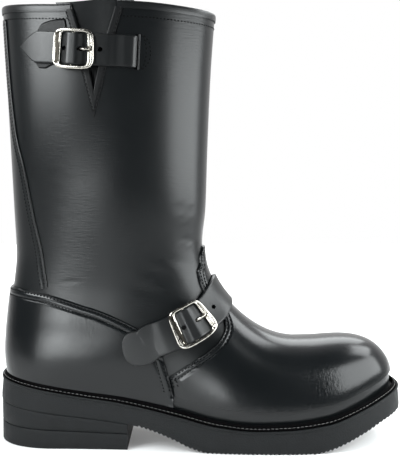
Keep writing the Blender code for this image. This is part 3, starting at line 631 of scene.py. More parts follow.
upperForm = {
    "columns": 200, "rows": 150, "notchTurn": 1.4877, "notchShift": 0.074, "notchX": -76.8,
    "notchFoot": 264.5, "notchTop": 327.5, "notchHalf": 16.2, "notchCurve": 1.25, "notchReach": 0.2,
    # x, z, half length, half width, depth and slant in degrees of each soft crease on the outer side
    "creases": np.array([
        (-104, 206, 16, 2.6, 0.30, 4), (-101, 196, 15, 2.4, 0.26, 8), (-106, 184, 14, 2.6, 0.28, 2),
        (-100, 172, 13, 2.2, 0.24, 6), (-98, 126, 9, 2.0, 0.35, 10), (-12, 180, 12, 2.4, 0.40, -8),
        (-10, 157, 13, 2.6, 0.45, -14), (-16, 165, 11, 2.2, 0.30, -6), (-30, 130, 22, 5.0, 0.2, -24),
        (-40, 118, 24, 5.5, 0.16, -18), (-20, 142, 18, 4.2, 0.18, -20),
    ]),
    "innerDepth": 0.7,  # the inner side creases less
    "liningFrom": 150.0,
}


def notchOpening(z):
    form = upperForm
    rise = (z - form["notchFoot"]) / (form["notchTop"] - form["notchFoot"])
    return form["notchHalf"] * np.clip(rise, 0, 1.2) ** form["notchCurve"]


def notchSpread(ring, extra=0.0):
    turn = upperForm["notchTurn"]
    x, z = sideView((1 - np.cos(turn)) / 2, ring)
    depth = sideView(1.0, ring)[0] - sideView(0.0, ring)[0]
    return (notchOpening(z) + extra) / (depth / 2 * math.sin(turn))


def ringTurn(u, ring):
    reach = upperForm["notchReach"]
    nearStart = np.clip(1 - u / reach, 0, 1) ** 2
    nearEnd = np.clip(1 - (1 - u) / reach, 0, 1) ** 2
    shift = upperForm["notchShift"] * (nearStart + nearEnd - 1)
    return upperForm["notchTurn"] + fullTurn * u + shift + notchSpread(ring) * (nearStart - nearEnd)


def ringShare(height):
    rings = bootForm["rings"]
    return height * (rings["ring"][-1] - rings["ring"][-2]) / (rings["back"][-1] - rings["back"][-2])


def creaseLift(points):
    lift = np.zeros(len(points))
    scale = np.where(points[:, 1] < 0, 1, upperForm["innerDepth"])
    for x, z, long, wide, depth, slant in upperForm["creases"]:
        turn = math.radians(slant)
        alongIt = (points[:, 0] - x) * math.cos(turn) + (points[:, 2] - z) * math.sin(turn)
        across = (points[:, 2] - z) * math.cos(turn) - (points[:, 0] - x) * math.sin(turn)
        fade = np.clip(1 - (alongIt / long) ** 2, 0, 1) ** 2
        fold = (1 - 1.6 * (across / wide) ** 2) * np.exp(-((across / wide) ** 2))
        lift -= depth * fade * fold * scale
    return lift


def makeUpper():
    form = upperForm

    def place(u, v, outer):
        turn = ringTurn(u, v)
        flush = skin(turn, v)
        return lifted(turn, v, np.where(outer, creaseLift(flush), -bootForm["wall"]))

    bm = bentBlock(form["columns"], form["rows"], place)
    bmesh.ops.remove_doubles(bm, verts=bm.verts, dist=0.02 * mm)
    # below the slit the wall's two ends meet, and the faces between them go
    between = [face for face in bm.faces if sum(len(edge.link_faces) > 2 for edge in face.edges) > 1]
    bmesh.ops.delete(bm, geom=between, context="FACES_ONLY")
    bmesh.ops.recalc_face_normals(bm, faces=bm.faces)
    piece = addPiece("bootUpper", bm, "shaftLeather", ["upper"])
    piece.data.materials.append(finishes["liningLeather"])
    axis = bootForm["shaftAxis"][::-1]
    for face in piece.data.polygons:
        x, y, z = face.center / mm
        outwards = face.normal.x * (x - np.interp(z, axis[:, 1], axis[:, 0])) + face.normal.y * y
        if z > form["liningFrom"] and outwards < 0:
            face.material_index = 1
    return piece


makeUpper()
print("upper")


# Seam lines on the skin

seamForm = {
    "vampEdge": table(
        "x z",
        (-3.6, 131.4), (-1.8, 123), (2.5, 114), (15, 99.7), (17.6, 90), (14, 81.6), (5, 73.5), (-8.5, 65),
        (-23.6, 55.5),
    ),
    "vampTip": table("half z", (0, 151.2), (4.5, 150.3), (8.5, 147.6), (11.6, 143.4), (13.4, 138)),
    "counterEdge": table(
        "x z",
        (-150, 120), (-131, 118.5), (-112.4, 115.5), (-90.2, 108.7), (-75.4, 103.9), (-59, 96.7),
        (-43.5, 88.4), (-31, 79),
    ),
    "counterFront": table("x z", (-31, 79), (-27.6, 66), (-24.2, 54), (-21, 40)),
    "sideSeam": table(
        "x z",
        (-146, 322), (-143.3, 278), (-139.2, 240), (-132, 209.5), (-125.7, 176), (-119.3, 146),
        (-115.6, 121.5),
    ),
    "featherRing": 0.009,
}


def locateFront(half, z):
    # turn and ring of a place beside the front ridge, by its distance from the ridge
    turns, rings = np.meshgrid(np.linspace(2.2, math.pi, 240), np.linspace(0.4, 0.7, 200), indexing="ij")
    points = skin(turns, rings)
    ridge = skin(np.full_like(rings[0], math.pi), rings[0])[:, 1]
    miss = (ridge[None, :] - points[..., 1] - half) ** 2 + (points[..., 2] - z) ** 2
    nearest = np.argmin(miss)
    return turns.flat[nearest], rings.flat[nearest]


def closer(rows, step=3.0):
    # the same line with a stop every few millimetres
    points = columnsOf(rows, "x", "z")
    run = lengths(points)
    fine = np.linspace(0, run[-1], round(run[-1] / step))
    return {"x": smooth(run, points[:, 0], fine), "z": smooth(run, points[:, 1], fine)}


vampStops = np.concatenate([
    np.array([locateFront(half, z) for half, z in columnsOf(seamForm["vampTip"], "half", "z")]),
    locateAll(closer(seamForm["vampEdge"])), locateAll(seamForm["counterFront"])[2:],
])[::-1]
vampStops[-1, 0] = math.pi
counterTop, counterFront = locateAll(seamForm["counterEdge"]), locateAll(seamForm["counterFront"])[::-1]
seamStops = locateAll(seamForm["sideSeam"])


def mirrored(stops):
    return np.stack([fullTurn - stops[:, 0], stops[:, 1]], axis=1)


vampLines = [SkinLine(vampStops), SkinLine(mirrored(vampStops))]
counterStops = counterTop.copy()
counterStops[0, 0] = 0.0
innerCounter = np.stack([-counterStops[::-1, 0], counterStops[::-1, 1]], axis=1)
wholeCounter = np.concatenate([innerCounter, counterStops[1:]])
counterLine = SkinLine(wholeCounter, points=700)
counterFrontLines = [SkinLine(counterFront), SkinLine(mirrored(counterFront))]


# Vamp: one sheet over the toe and instep, its edge turned under and sewn twice

vampForm = {
    "columns": 150, "rows": 130, "thick": 2.25, "edgeWidth": 1.1, "sewnRows": (1.9, 5.0), "grooveWidth": 0.7,
    "grooveDepth": 0.5, "sunk": -0.4, "crowding": 0.45, "sewnFrom": 6, "sewnTip": 0.6,
}


def makeVamp():
    form = vampForm
    edge = vampLines[0]
    border = np.concatenate([vampLines[0].line, vampLines[1].line[::-1]])

    def place(u, v, outer):
        run = v * edge.long
        side = math.pi - np.interp(run, edge.run, edge.turn)
        ring = np.maximum(np.interp(run, edge.run, edge.ring), seamForm["featherRing"])
        turn = math.pi + (2 * spread(u, form["crowding"]) - 1) * side
        toEdge = distanceTo(border, skin(turn, ring))
        return lifted(turn, ring, np.where(outer, sewnTop(form, toEdge), form["sunk"]))

    bm = bentBlock(form["columns"], form["rows"], place)
    return addPiece("vampSheet", closeUp(bm), "lastedLeather", ["vamp"])


makeVamp()
print("vamp")


# Counter: the cup round the heel, its top edge and both fronts sewn twice

counterForm = {
    "columns": 150, "rows": 60, "thick": 2.5, "edgeWidth": 1.1, "sewnRows": (1.8, 6.2), "grooveWidth": 0.7,
    "grooveDepth": 0.5, "sunk": -0.4, "crowding": 0.5, "easing": 0.4, "sewnFrom": 4,
}


def makeCounter():
    form = counterForm
    outerFront, innerFront = (front.line for front in counterFrontLines)
    border = np.concatenate([outerFront, counterLine.line[::-1], innerFront[::-1]])
    corner = counterTop[-1]
    feather = seamForm["featherRing"]

    def place(u, v, outer):
        out = 2 * spread(u, form["crowding"]) - 1
        rise = (1 - form["easing"]) * v + form["easing"] * np.sin(math.pi / 2 * v)
        side = smooth(counterFront[:, 1], counterFront[:, 0], rise * corner[1])
        edge = smooth(counterTop[:, 0] / corner[0], counterTop[:, 1], np.abs(out))
        ring = feather + rise * (edge - feather)
        turn = out * side
        toEdge = distanceTo(border, skin(turn, ring))
        return lifted(turn, ring, np.where(outer, sewnTop(form, toEdge), form["sunk"]))

    bm = bentBlock(form["columns"], form["rows"], place)
    return addPiece("heelCounter", closeUp(bm), "lastedLeather", ["counter"])


makeCounter()
print("counter")


# Collar: a binding rolled over the wall's edge

collarForm = {
    "columns": 220, "rows": 20, "drop": 4.0, "outer": 0.85, "inner": 3.0, "rise": 1.1, "leather": 0.7,
    "straight": 0.32, "puff": 0.12, "sewnDrop": 10.0,
}


def makeCollar():
    form = collarForm

    def place(u, v, outer):
        ring = np.full_like(u, 1 - ringShare(form["drop"]))
        turn = ringTurn(u, np.ones_like(u))
        top, low = skin(turn, np.ones_like(u)), skin(turn, ring)
        up = (top - low) / np.linalg.norm(top - low, axis=-1, keepdims=True)
        normal = skinNormal(turn, np.ones_like(u))
        thin = np.where(outer, 0.0, form["leather"])
        # down the outer face, over the top as a half circle, down the inner face
        halfThick = (form["outer"] + form["inner"]) / 2 - thin
        centre = (form["outer"] - form["inner"]) / 2
        straight = form["straight"]
        angle = math.pi * np.clip((v - straight) / (1 - 2 * straight), 0, 1)
        drop = np.where(v < 0.5, 1 - v / straight, 1 - (1 - v) / straight)
        drop = np.clip(drop, 0, 1) * form["drop"]
        puff = form["puff"] * np.sin(math.pi * np.clip(drop / form["drop"], 0, 1))
        sideways = centre + (halfThick + puff) * np.cos(angle)
        height = form["rise"] - halfThick + halfThick * np.sin(angle) - drop
        return top + normal * sideways[:, None] + up * height[:, None]

    bm = bentBlock(form["columns"], form["rows"], place)
    return addPiece("collarBinding", closeUp(bm), "strapLeather", ["collar_binding"])


makeCollar()
print("collar")


# Slit at the collar: a V of binding with its tail below the slit, and the gusset behind it

notchForm = {
    "columns": 120, "rows": 14, "wide": 5.6, "tail": 17.0, "slope": 0.27, "thick": 1.2, "edgeWidth": 0.8,
    "sunk": -2.3, "sewn": 0.16, "grooveWidth": 0.1, "grooveDepth": 0.4, "underCollar": 0.4,
}
gussetForm = {
    "columns": 30, "rows": 30, "margin": 9.0, "widen": 4.0, "rise": 2.4, "bow": 1.8, "thick": 1.4,
    "play": 0.3,
}
notchRings = {
    "foot": locate(upperForm["notchX"], upperForm["notchFoot"])[1],
    "tail": locate(upperForm["notchX"], upperForm["notchFoot"] - notchForm["tail"])[1],
    "top": 1 - ringShare(collarForm["drop"] - notchForm["underCollar"]),
}


def bindingSpot(leg, side, v):
    # leg is 0 at the foot of the V and 1 at the collar, v is 0 on its outer edge and 1 at the slit
    form, shape, rings = notchForm, upperForm, notchRings
    innerRing = rings["foot"] + (rings["top"] - rings["foot"]) * leg
    outerRing = rings["tail"] + (rings["top"] - rings["tail"]) * leg
    z = sideView((1 - np.cos(shape["notchTurn"])) / 2, outerRing)[1]
    straight = form["slope"] * (z - shape["notchFoot"] + form["tail"])
    widen = notchSpread(outerRing, np.minimum(straight - notchOpening(z), form["wide"]))
    narrow = np.maximum(notchSpread(innerRing) - 0.004, 0)
    turn = shape["notchTurn"] + side * (narrow * v + widen * (1 - v))
    return turn, innerRing * v + outerRing * (1 - v)


def makeNotchBinding():
    form = notchForm

    def place(u, v, outer):
        turn, ring = bindingSpot(np.abs(2 * u - 1) ** 1.2, np.sign(2 * u - 1), v)
        toEdge = np.minimum(v, 1 - v) * form["wide"]
        top = form["thick"] * roundEdge(toEdge, form["edgeWidth"])
        top = top + grooves(v, [form["sewn"]], form["grooveWidth"], form["grooveDepth"])
        return lifted(turn, ring, np.where(outer, top, np.where(v > 0.8, form["sunk"], -0.4)))

    bm = bentBlock(form["columns"], form["rows"], place)
    return addPiece("slitBinding", closeUp(bm), "bindingLeather", ["notch_binding"])


def makeGusset():
    form, shape = gussetForm, upperForm
    footRing = locate(shape["notchX"], shape["notchFoot"] - form["margin"])[1]

    def place(u, v, outer):
        ring = footRing + (1 - footRing) * v
        margin = form["margin"] + form["widen"] * v**4
        turn = shape["notchTurn"] + (2 * u - 1) * notchSpread(ring, margin)
        bow = form["bow"] * v * np.cos(math.pi * (u - 0.5)) ** 2
        depth = -bootForm["wall"] - form["play"] - bow - np.where(outer, 0, form["thick"])
        points = lifted(turn, ring, depth)
        points[:, 2] += form["rise"] * v**3
        return points

    bm = bentBlock(form["columns"], form["rows"], place)
    return addPiece("slitGusset", closeUp(bm), "shaftLeather", ["gusset"])


makeNotchBinding()
makeGusset()
print("slit")


# Side seams: a flat strip with a bead of piping along its front edge

sideSeamForm = {
    "wide": 6.5, "columns": 14, "rows": 150, "thick": 1.3, "edgeWidth": 0.7, "hollow": 0.18, "bead": 1.0,
    "beadLift": 0.6, "beadIn": 0.5, "round": 10, "sewnRows": (2.0, 5.2),
}


def makeSideSeam(name, node, side):
    form = sideSeamForm
    stops = seamStops if side == outerSide else mirrored(seamStops)
    line = SkinLine(stops)
    backwards = -1 if side == outerSide else 1

    def place(u, v, outer):
        toEdge = np.minimum(u, 1 - u) * form["wide"]
        hollow = form["hollow"] * np.exp(-(((u - 0.5) / 0.2) ** 2))
        top = form["thick"] * roundEdge(toEdge, form["edgeWidth"]) - hollow
        return line.at(v * line.long, backwards * u * form["wide"], np.where(outer, top, -0.4))

    strip = closeUp(bentBlock(form["columns"], form["rows"], place))
    addPiece(name, strip, "shaftLeather", [node])

    def placeBead(u, v):
        angle = fullTurn * u
        taper = form["bead"] * np.minimum(1, np.minimum(v, 1 - v) * 120 + 0.02)
        across = form["beadIn"] * backwards - taper * np.cos(angle)
        return line.at(v * line.long, across, form["beadLift"] + taper * np.sin(angle))

    bead = closeUp(bentGrid(form["round"], form["rows"], placeBead))
    addPiece(name + "Piping", bead, "strapLeather")
    return line


outerSeam = makeSideSeam("sideSeamOuter", "side_seam_outer", outerSide)
innerSeam = makeSideSeam("sideSeamInner", "side_seam_inner", innerSide)
print("side seams")


# Straps, their chapes and buckles

topStrap = {
    "route": table("x z", (-131.5, 300), (-106, 297.8), (-78, 296), (-46.7, 294.8)),
    "buckle": (-92.0, 296.9), "width": 23.0, "tip": 14.0, "tipPower": 1.12,
    "lift": table(
        "offset lift",
        (-42, 1.4), (-30, 1.8), (-20, 2.2), (-7.6, 2.2), (-2, 5), (2, 5), (9.5, 1.9), (19, 1.7), (25, 1.6),
        (31, 0.5), (38, 1.1), (43, 0.6), (46, -2.0),
    ),
    "holes": table("offset length", (-5.6, 3.6), (6.6, 6.0), (19.6, 3.6)),
    "chape": table(
        "offset above below lift",
        (-28.5, 12, 12, 0.2), (-26, 16.5, 15, 0.2), (-22, 18.5, 15, 0.2), (-14, 20.5, 11.5, 0.2),
        (-8, 21, 10.8, 0.4), (-6, 11, 10.6, 0.8), (-4.5, 10.5, 10.5, 1.5), (-2, 10.5, 10.5, 1.6),
    ),
    "barLift": 2.1, "plateLift": 4.5,
}
instepStrap = {
    "route": table("x z", (-59, 74.5), (-35, 82.5), (-9.5, 92.5), (6.5, 103)),
    "crest": 0.016, "buckle": (-9.1, 92.6), "width": 26.0, "tip": 11.0, "tipPower": 2.2,
    "lift": table(
        "offset lift",
        (-52, 2.8), (-30, 3.6), (-20, 4.5), (-7.6, 4.5), (-2, 7.4), (2, 7.4), (9.5, 4.3), (26, 3.4),
        (150, 3.2),
    ),
    "holes": table("offset length", (-5.0, 3.6), (6.6, 6.0), (21.5, 3.6)),
    "chape": table(
        "offset above below lift",
        (-34, 9.5, 9.5, 2.7), (-16, 10.5, 10.5, 2.7), (-6, 11, 11, 2.7), (-2, 11, 11, 2.8),
    ),
    "barLift": 4.5, "plateLift": 7.0,
}
strapCut = {
    "leather": 2.2, "step": 1.0, "rows": 26, "tipHalf": 0.4, "edgeWidth": 0.9, "punchWide": 3.4,
    "punchLong": 24.0, "crowding": 0.5, "tipRound": 0.15, "edgeDrop": 0.75,
}


def strapLine(strap):
    stops = locateAll(strap["route"])
    if "crest" in strap:
        crest = np.array([math.pi, stops[-1, 1] + strap["crest"]])
        stops = np.concatenate([stops, [crest], mirrored(stops[::-1])])
    return SkinLine(stops, points=600)


def makeStrap(name, node, strap, line):
    form = strapCut
    buckle = line.nearest(*strap["buckle"])
    half = strap["width"] / 2
    columns = round(line.long / form["step"])

    def place(u, v, outer):
        run = u * line.long
        taper = 1 - np.clip(1 - run / strap["tip"], 0, 1) ** strap["tipPower"]
        side = np.maximum(half * taper ** (1 / strap["tipPower"]), form["tipHalf"])
        across = 2 * spread(v, form["crowding"]) - 1
        toEdge = np.minimum((1 - np.abs(across)) * side, run + form["tipRound"])
        lift = lookUp(strap["lift"], "offset", "lift", run - buckle)
        drop = form["edgeDrop"] * form["leather"] * (1 - roundEdge(toEdge, form["edgeWidth"]))
        return line.at(run, across * side, lift + np.where(outer, form["leather"] - drop, 0))

    bm = closeUp(bentBlock(columns, form["rows"], place))
    piece = addPiece(name, bm, "strapLeather", [node])
    for offset, long in columnsOf(strap["holes"], "offset", "length"):
        punchHole(piece, line, buckle + offset, long)
    return buckle


def punchHole(piece, line, run, long):
    bm = bmesh.new()
    stretch = Matrix.Diagonal((long * mm, strapCut["punchWide"] * mm, strapCut["punchLong"] * mm, 1))
    upright = line.axes(run, 0) @ stretch
    bmesh.ops.create_cone(bm, cap_ends=True, segments=24, radius1=0.5, radius2=0.5, depth=1, matrix=upright)
    mesh = bpy.data.meshes.new("punch")
    bm.to_mesh(mesh)
    bm.free()
    punch = bpy.data.objects.new("punch", mesh)
    bpy.context.scene.collection.objects.link(punch)
    cut = piece.modifiers.new("Hole", "BOOLEAN")
    cut.operation = "DIFFERENCE"
    cut.solver = "EXACT"
    cut.object = punch
    bpy.context.view_layer.update()
    graph = bpy.context.evaluated_depsgraph_get()
    holed = bpy.data.meshes.new_from_object(piece.evaluated_get(graph))
    piece.modifiers.clear()
    piece.data = holed
    holed.set_sharp_from_angle(angle=math.radians(40))
    bpy.data.objects.remove(punch, do_unlink=True)


chapeCut = {
    "leather": 1.5, "columns": 40, "rows": 20, "edgeWidth": 0.8, "crowding": 0.5,
    "endRound": 0.1, "edgeDrop": 0.7,
}


def makeChape(name, node, strap, line, buckle):
    form, rows = chapeCut, strap["chape"]
    start, end = rows["offset"][0], rows["offset"][-1]

    def place(u, v, outer):
        offset = start + (end - start) * u
        across = 2 * spread(v, form["crowding"]) - 1
        above, below = (lookUp(rows, "offset", side, offset) for side in ("above", "below"))
        half = np.where(across > 0, above, below)
        toEdge = np.minimum((1 - np.abs(across)) * half, offset - start + form["endRound"])
        drop = form["edgeDrop"] * form["leather"] * (1 - roundEdge(toEdge, form["edgeWidth"]))
        lift = lookUp(rows, "offset", "lift", offset) + np.where(outer, form["leather"] - drop, 0)
        return line.at(buckle + offset, across * half, lift)

    bm = bentBlock(form["columns"], form["rows"], place)
    return addPiece(name, closeUp(bm), "bindingLeather", [node])


buckleForm = {
    "long": 29.0, "tipBar": 5.6, "endBar": 4.4, "sideBar": 2.6, "plate": 2.6, "rod": 2.6, "play": 0.3,
    "shift": 1.0, "outerPower": 4.6, "innerPower": 9.0, "round": 168, "section": 40, "sectionPower": 2.25,
    "barRound": 16, "barAlong": 24, "barReach": 0.92, "barFade": 3,
    # depths, places and widths of the panel on the wide bar, and of the groove and notch on the other
    "panel": 0.55, "panelAt": 0.52, "panelWide": 0.3, "panelFade": 40,
    "groove": 1.0, "grooveAt": 0.42, "grooveWide": 0.13, "notch": 1.4, "notchHalf": 1.5, "notchTo": 0.6,
    "panelFrom": 1.1, "panelTo": 1.3, "panelHalf": 0.94,  # dull ground, in from the wide bar's edges
}


def squareRound(angle, start, end, half, power):
    cos, sin = np.cos(angle), np.sin(angle)
    roundOff = (np.abs(cos) ** power + np.abs(sin) ** power) ** (-1 / power)
    return (start + end) / 2 + (end - start) / 2 * roundOff * cos, half * roundOff * sin


def makeBuckle(name, node, strap, line, buckle):
    form = buckleForm
    back, front = form["shift"] - form["long"] / 2, form["shift"] + form["long"] / 2
    window = strap["width"] / 2 + form["play"]

    def place(u, v):
        angle, turn = fullTurn * u, fullTurn * v
        outOffset, outAcross = squareRound(angle, back, front, window + form["sideBar"], form["outerPower"])
        inOffset, inAcross = squareRound(
            angle, back + form["tipBar"], front - form["endBar"], window, form["innerPower"]
        )
        power = form["sectionPower"]
        cos, sin = np.cos(turn), np.sin(turn)
        roundOff = (np.abs(cos) ** power + np.abs(sin) ** power) ** (-1 / power)
        share = 0.5 + 0.5 * roundOff * cos  # 0 at the window, 1 at the outside
        height = 0.5 + 0.5 * roundOff * sin
        offset = inOffset + (outOffset - inOffset) * share
        across = inAcross + (outAcross - inAcross) * share
        inBar = 1 / (1 + np.exp((np.abs(across) - window * form["barReach"]) * form["barFade"]))
        top = sin > 0.2
        atTip, atEnd = np.cos(angle) < -0.3, np.cos(angle) > 0.3
        fromPanel = np.abs(share - form["panelAt"]) - form["panelWide"]
        panel = form["panel"] * inBar / (1 + np.exp(fromPanel * form["panelFade"]))
        groove = form["groove"] * inBar * np.exp(-(((share - form["grooveAt"]) / form["grooveWide"]) ** 2))
        notch = form["notch"] * np.exp(-((across / form["notchHalf"]) ** 4)) * (share < form["notchTo"])
        sunk = np.where(top & atTip, panel, 0) + np.where(top & atEnd, np.maximum(groove, notch), 0)
        return line.at(buckle + offset, across, strap["plateLift"] + form["plate"] * height - sunk)

    bm = closeUp(bentGrid(form["round"], form["section"], place))
    piece = addPiece(name, bm, "nickel", [node], sharp=60)
    # the sunk panel of the wide bar has a dull ground
    piece.data.materials.append(finishes["dullNickel"])
    toPlate = line.axes(buckle, strap["plateLift"]).inverted()
    for face in piece.data.polygons:
        offset, across, lift = toPlate @ face.center / mm
        inPanel = back + form["panelFrom"] < offset < back + form["tipBar"] - form["panelTo"]
        if inPanel and abs(across) < window * form["panelHalf"] and lift > form["plate"] / 2:
            face.material_index = 1
    radius, reach = form["rod"] / 2, window + form["sideBar"] / 2

    def placeBar(u, v):
        angle = fullTurn * u
        lift = strap["barLift"] + radius + radius * np.sin(angle)
        return line.at(buckle + radius * np.cos(angle), (2 * v - 1) * reach, lift)

    bar = capEnds(bentGrid(form["barRound"], form["barAlong"], placeBar))
    addPiece(name + "Bar", bar, "nickel", sharp=60)
    return piece


prongForm = {"thick": 1.15, "tip": 0.8, "tipFrom": 0.9, "round": 14, "along": 40}


def makeProng(name, node, strap, line, buckle):
    form = prongForm
    bar, plate = strap["barLift"], strap["plateLift"]
    rest = plate + buckleForm["plate"] - buckleForm["notch"] + form["thick"]
    route = table(
        "offset lift",
        (1.6, bar + 0.6), (3.4, bar + 1.0), (5.0, bar + 2.2), (6.8, rest - 1.0), (8.6, rest),
        (12.8, rest - 0.1),
    )

    def place(u, v):
        angle = fullTurn * u
        offset = route["offset"][0] + (route["offset"][-1] - route["offset"][0]) * v
        lift = lookUp(route, "offset", "lift", offset)
        radius = form["thick"] + (form["tip"] - form["thick"]) * v
        inTip = np.clip((v - form["tipFrom"]) / (1 - form["tipFrom"]), 0, 1)
        radius = radius * np.sqrt(np.clip(1 - inTip**2, 0, 1))
        return line.at(buckle + offset, radius * np.cos(angle), lift + radius * np.sin(angle))

    bm = capEnds(bentGrid(form["round"], form["along"], place))
    return addPiece(name, bm, "nickel", [node], sharp=60)


# Slot in the shaft that the collar strap comes out of, with a lip along its front; the slot's dark opening
# is a thin near-black patch laid just over the skin, a painted shadow
slotForm = {
    "offset": 45.2, "half": 12.6, "wide": 2.4, "lip": 1.5, "lipHigh": 0.7, "high": 0.12, "sunk": -0.5,
    "columns": 6, "lipColumns": 10, "rows": 20,
    "bows": (5.0, 8.2), "bowTurn": 1.35,  # the two bowed rows of stitches in front of it
}


def makeSlot(line, buckle):
    form = slotForm
    start = buckle + form["offset"]

    def placeSlotShade(u, v, outer):
        run = start + (u - 0.5) * form["wide"]
        return line.at(run, (2 * v - 1) * form["half"], np.where(outer, form["high"], form["sunk"]))

    def placeLip(u, v, outer):
        run = start + form["wide"] / 2 + u * form["lip"]
        high = form["lipHigh"] * np.sqrt(np.clip(1 - (2 * u - 1) ** 2, 0, 1))
        return line.at(run, (2 * v - 1) * form["half"], np.where(outer, high, form["sunk"]))

    # painted shadow: a near-black patch 0.12 mm over the skin stands for the dark inside of the slot
    slot = closeUp(bentBlock(form["columns"], form["rows"], placeSlotShade))
    addPiece("strapSlot", slot, "weltLeather")
    lip = closeUp(bentBlock(form["lipColumns"], form["rows"], placeLip))
    addPiece("strapSlotLip", lip, "shaftLeather")


topLine, instepLine = strapLine(topStrap), strapLine(instepStrap)
topBuckle = topLine.nearest(*topStrap["buckle"])
makeSlot(topLine, topBuckle)
for prefix, nodePrefix, strap, line in (
    ("collar", "top", topStrap, topLine), ("instep", "instep", instepStrap, instepLine)
):
    buckle = makeStrap(prefix + "Strap", nodePrefix + "_strap", strap, line)
    makeChape(prefix + "Chape", nodePrefix + "_chape", strap, line, buckle)
    makeBuckle(prefix + "Buckle", nodePrefix + "_buckle", strap, line, buckle)
    makeProng(prefix + "Prong", nodePrefix + "_prong", strap, line, buckle)
print("straps and buckles")


# Sole, heel and welt

def soleHalf(x, side, inset):
    rows = lookUp(soleForm["width"], "x", side, x) - inset
    heel = np.clip((soleForm["heelRound"] - x) / (soleForm["heelRound"] - soleForm["back"] - inset), 0, 1)
    toe = np.clip((x - soleForm["toeRound"]) / (soleForm["tip"] - inset - soleForm["toeRound"]), 0, 1)
    power = soleForm["roundPower"]
    return rows * (1 - np.maximum(heel, toe) ** power) ** (1 / power)


def solePoint(x, across, inset):
    half = np.where(across < 0, soleHalf(x, "outer", inset), soleHalf(x, "inner", inset))
    return across * half + swing(x)


outsoleForm = {
    "ends": 60, "step": 0.55, "toothPitch": 3.3, "toothDepth": 1.2, "toothFlat": 1.8, "toothSlope": 7,
    "toothFade": 1.0, "toothStart": -48.0, "toothEnd": 152.0,
    # share across, share of the height, height added and inset of each point round a half section
    "section": np.array([
        (0, 0, 0, 0), (0.25, 0, 0, 0), (0.5, 0, 0, 0), (0.75, 0, 0, 0), (0.93, 0, 0, 0), (1, 0, 0, 0.5),
        (1, 0, 0.5, 0.05), (1, 0.2, 0, 0.1), (1, 0.45, 0, 0.5), (1, 0.7, 0, 0.9), (1, 1, -1.9, 1.3),
        (1, 1, -1.5, 0.7), (1, 1, -0.6, 0.6), (1, 1, -0.15, 0.8), (1, 1, 0, 1.3), (0.9, 1, 0, 1.4),
        (0.6, 1, 0, 1.6), (0.3, 1, 0, 1.6), (0, 1, 0, 1.6),
    ]),
}


def tread(x, form):
    wave = (x - form["toothStart"]) / form["toothPitch"] % 1
    cut = np.clip(form["toothFlat"] - np.abs(wave - 0.5) * form["toothSlope"], 0, 1)
    inside = (x > form["toothStart"]) & (x < form["toothEnd"])
    return np.where(inside, cut * form["toothDepth"], 0)


def makeLoft(stations, section, bottom, top, treadForm=None):
    start, end = stations[0], stations[-1]
    half = np.concatenate([section * [-1, 1, 1, 1], section[::-1][1:]])
    steps = np.arange(len(half))

    def place(u, v):
        x = np.interp(u * (len(stations) - 1), np.arange(len(stations)), stations)
        across, share, rise, inset = (np.interp(v * (len(half) - 1), steps, half[:, k]) for k in range(4))
        low, high, reach = soleForm["back"], soleForm["tip"], soleForm["insetReach"]
        x = np.where(x < start + reach, x + inset * (x - start - reach) / -reach * (start == low), x)
        x = np.where(x > end - reach, x - inset * (x - end + reach) / reach * (end == high), x)
        floor, roof = bottom(x), top(x)
        z = floor + share * (roof - floor) + rise
        if treadForm:
            z = z + tread(x, treadForm) * np.clip(1 - (z - floor) / treadForm["toothFade"], 0, 1)
        return np.stack([x, solePoint(x, across, inset), z], axis=1)

    return bentGrid(len(stations) - 1, len(half) - 1, place)


def soleHeight(name):
    return lambda x: lookUp(soleForm[name], "x", "z", x)


def makeOutsole():
    form = outsoleForm
    low, high = soleForm["back"], soleForm["tip"]
    ends = (low + high) / 2 + np.sin(np.linspace(-0.5, 0.5, form["ends"]) * math.pi) * (high - low) / 2
    close = np.arange(form["toothStart"], form["toothEnd"], form["step"])
    stations = np.union1d(ends[(ends < form["toothStart"]) | (ends > form["toothEnd"])], close)
    bm = makeLoft(stations, form["section"], soleHeight("underside"), soleHeight("rim"), form)
    return addPiece("outsoleRubber", capEnds(bm), "soleRubber", ["outsole"], sharp=35)


heelForm = {
    "stations": 60, "gap": 0.15,
    "section": np.array([
        (0, 0, 0, 0.4), (0.3, 0, 0, 0.4), (0.6, 0, 0, 0.4), (0.9, 0, 0, 0.4), (1, 0, 0, 1.1),
        (1, 0, 0.25, 0.7), (1, 0, 0.8, 0.45), (1, 0.33, 0, 0.4), (1, 0.66, 0, 0.4),
        (1, 1, -0.8, 0.45), (1, 1, -0.25, 0.7), (1, 1, 0, 1.1), (0.9, 1, 0, 0.4),
        (0.6, 1, 0, 0.4), (0.3, 1, 0, 0.4), (0, 1, 0, 0.4),
    ]),
}


def makeHeelLayer(name, node, bottom, top):
    low, breast = soleForm["back"], soleForm["breast"]
    stations = breast + np.sin(np.linspace(0.5, 0, heelForm["stations"]) * math.pi) * (low - breast)
    bm = capEnds(makeLoft(stations, heelForm["section"], bottom, top))
    return addPiece(name, bm, "soleRubber", [node], sharp=35)


def makeHeel():
    gap = heelForm["gap"]
    seam, under = soleHeight("heelSeam"), soleHeight("underside")
    makeHeelLayer("heelWedge", "heel_wedge", lambda x: seam(x) + gap, lambda x: under(x) - gap)
    makeHeelLayer("heelLift", "heel_lift", lambda x: 0 * x, lambda x: seam(x) - gap)


weltForm = {
    "round": 320, "inner": 3.2, "bedded": 0.1,
    "inset": table("x inset", (-157, 1.0), (-60, 1.0), (20, 2.0), (157, 2.0)),
    # share from the outer edge inwards and height of each point round it, with a lip against the upper
    "section": np.array([
        (0.08, 0.0), (0.0, 0.35), (0.0, 1.3), (0.1, 1.75), (0.28, 1.8), (0.35, 1.4), (0.45, 1.4),
        (0.52, 1.9), (0.62, 2.9), (0.74, 3.9), (0.88, 4.4), (1.0, 4.2), (1.0, 0.0), (0.5, 0.0), (0.08, 0.0),
    ]),
}


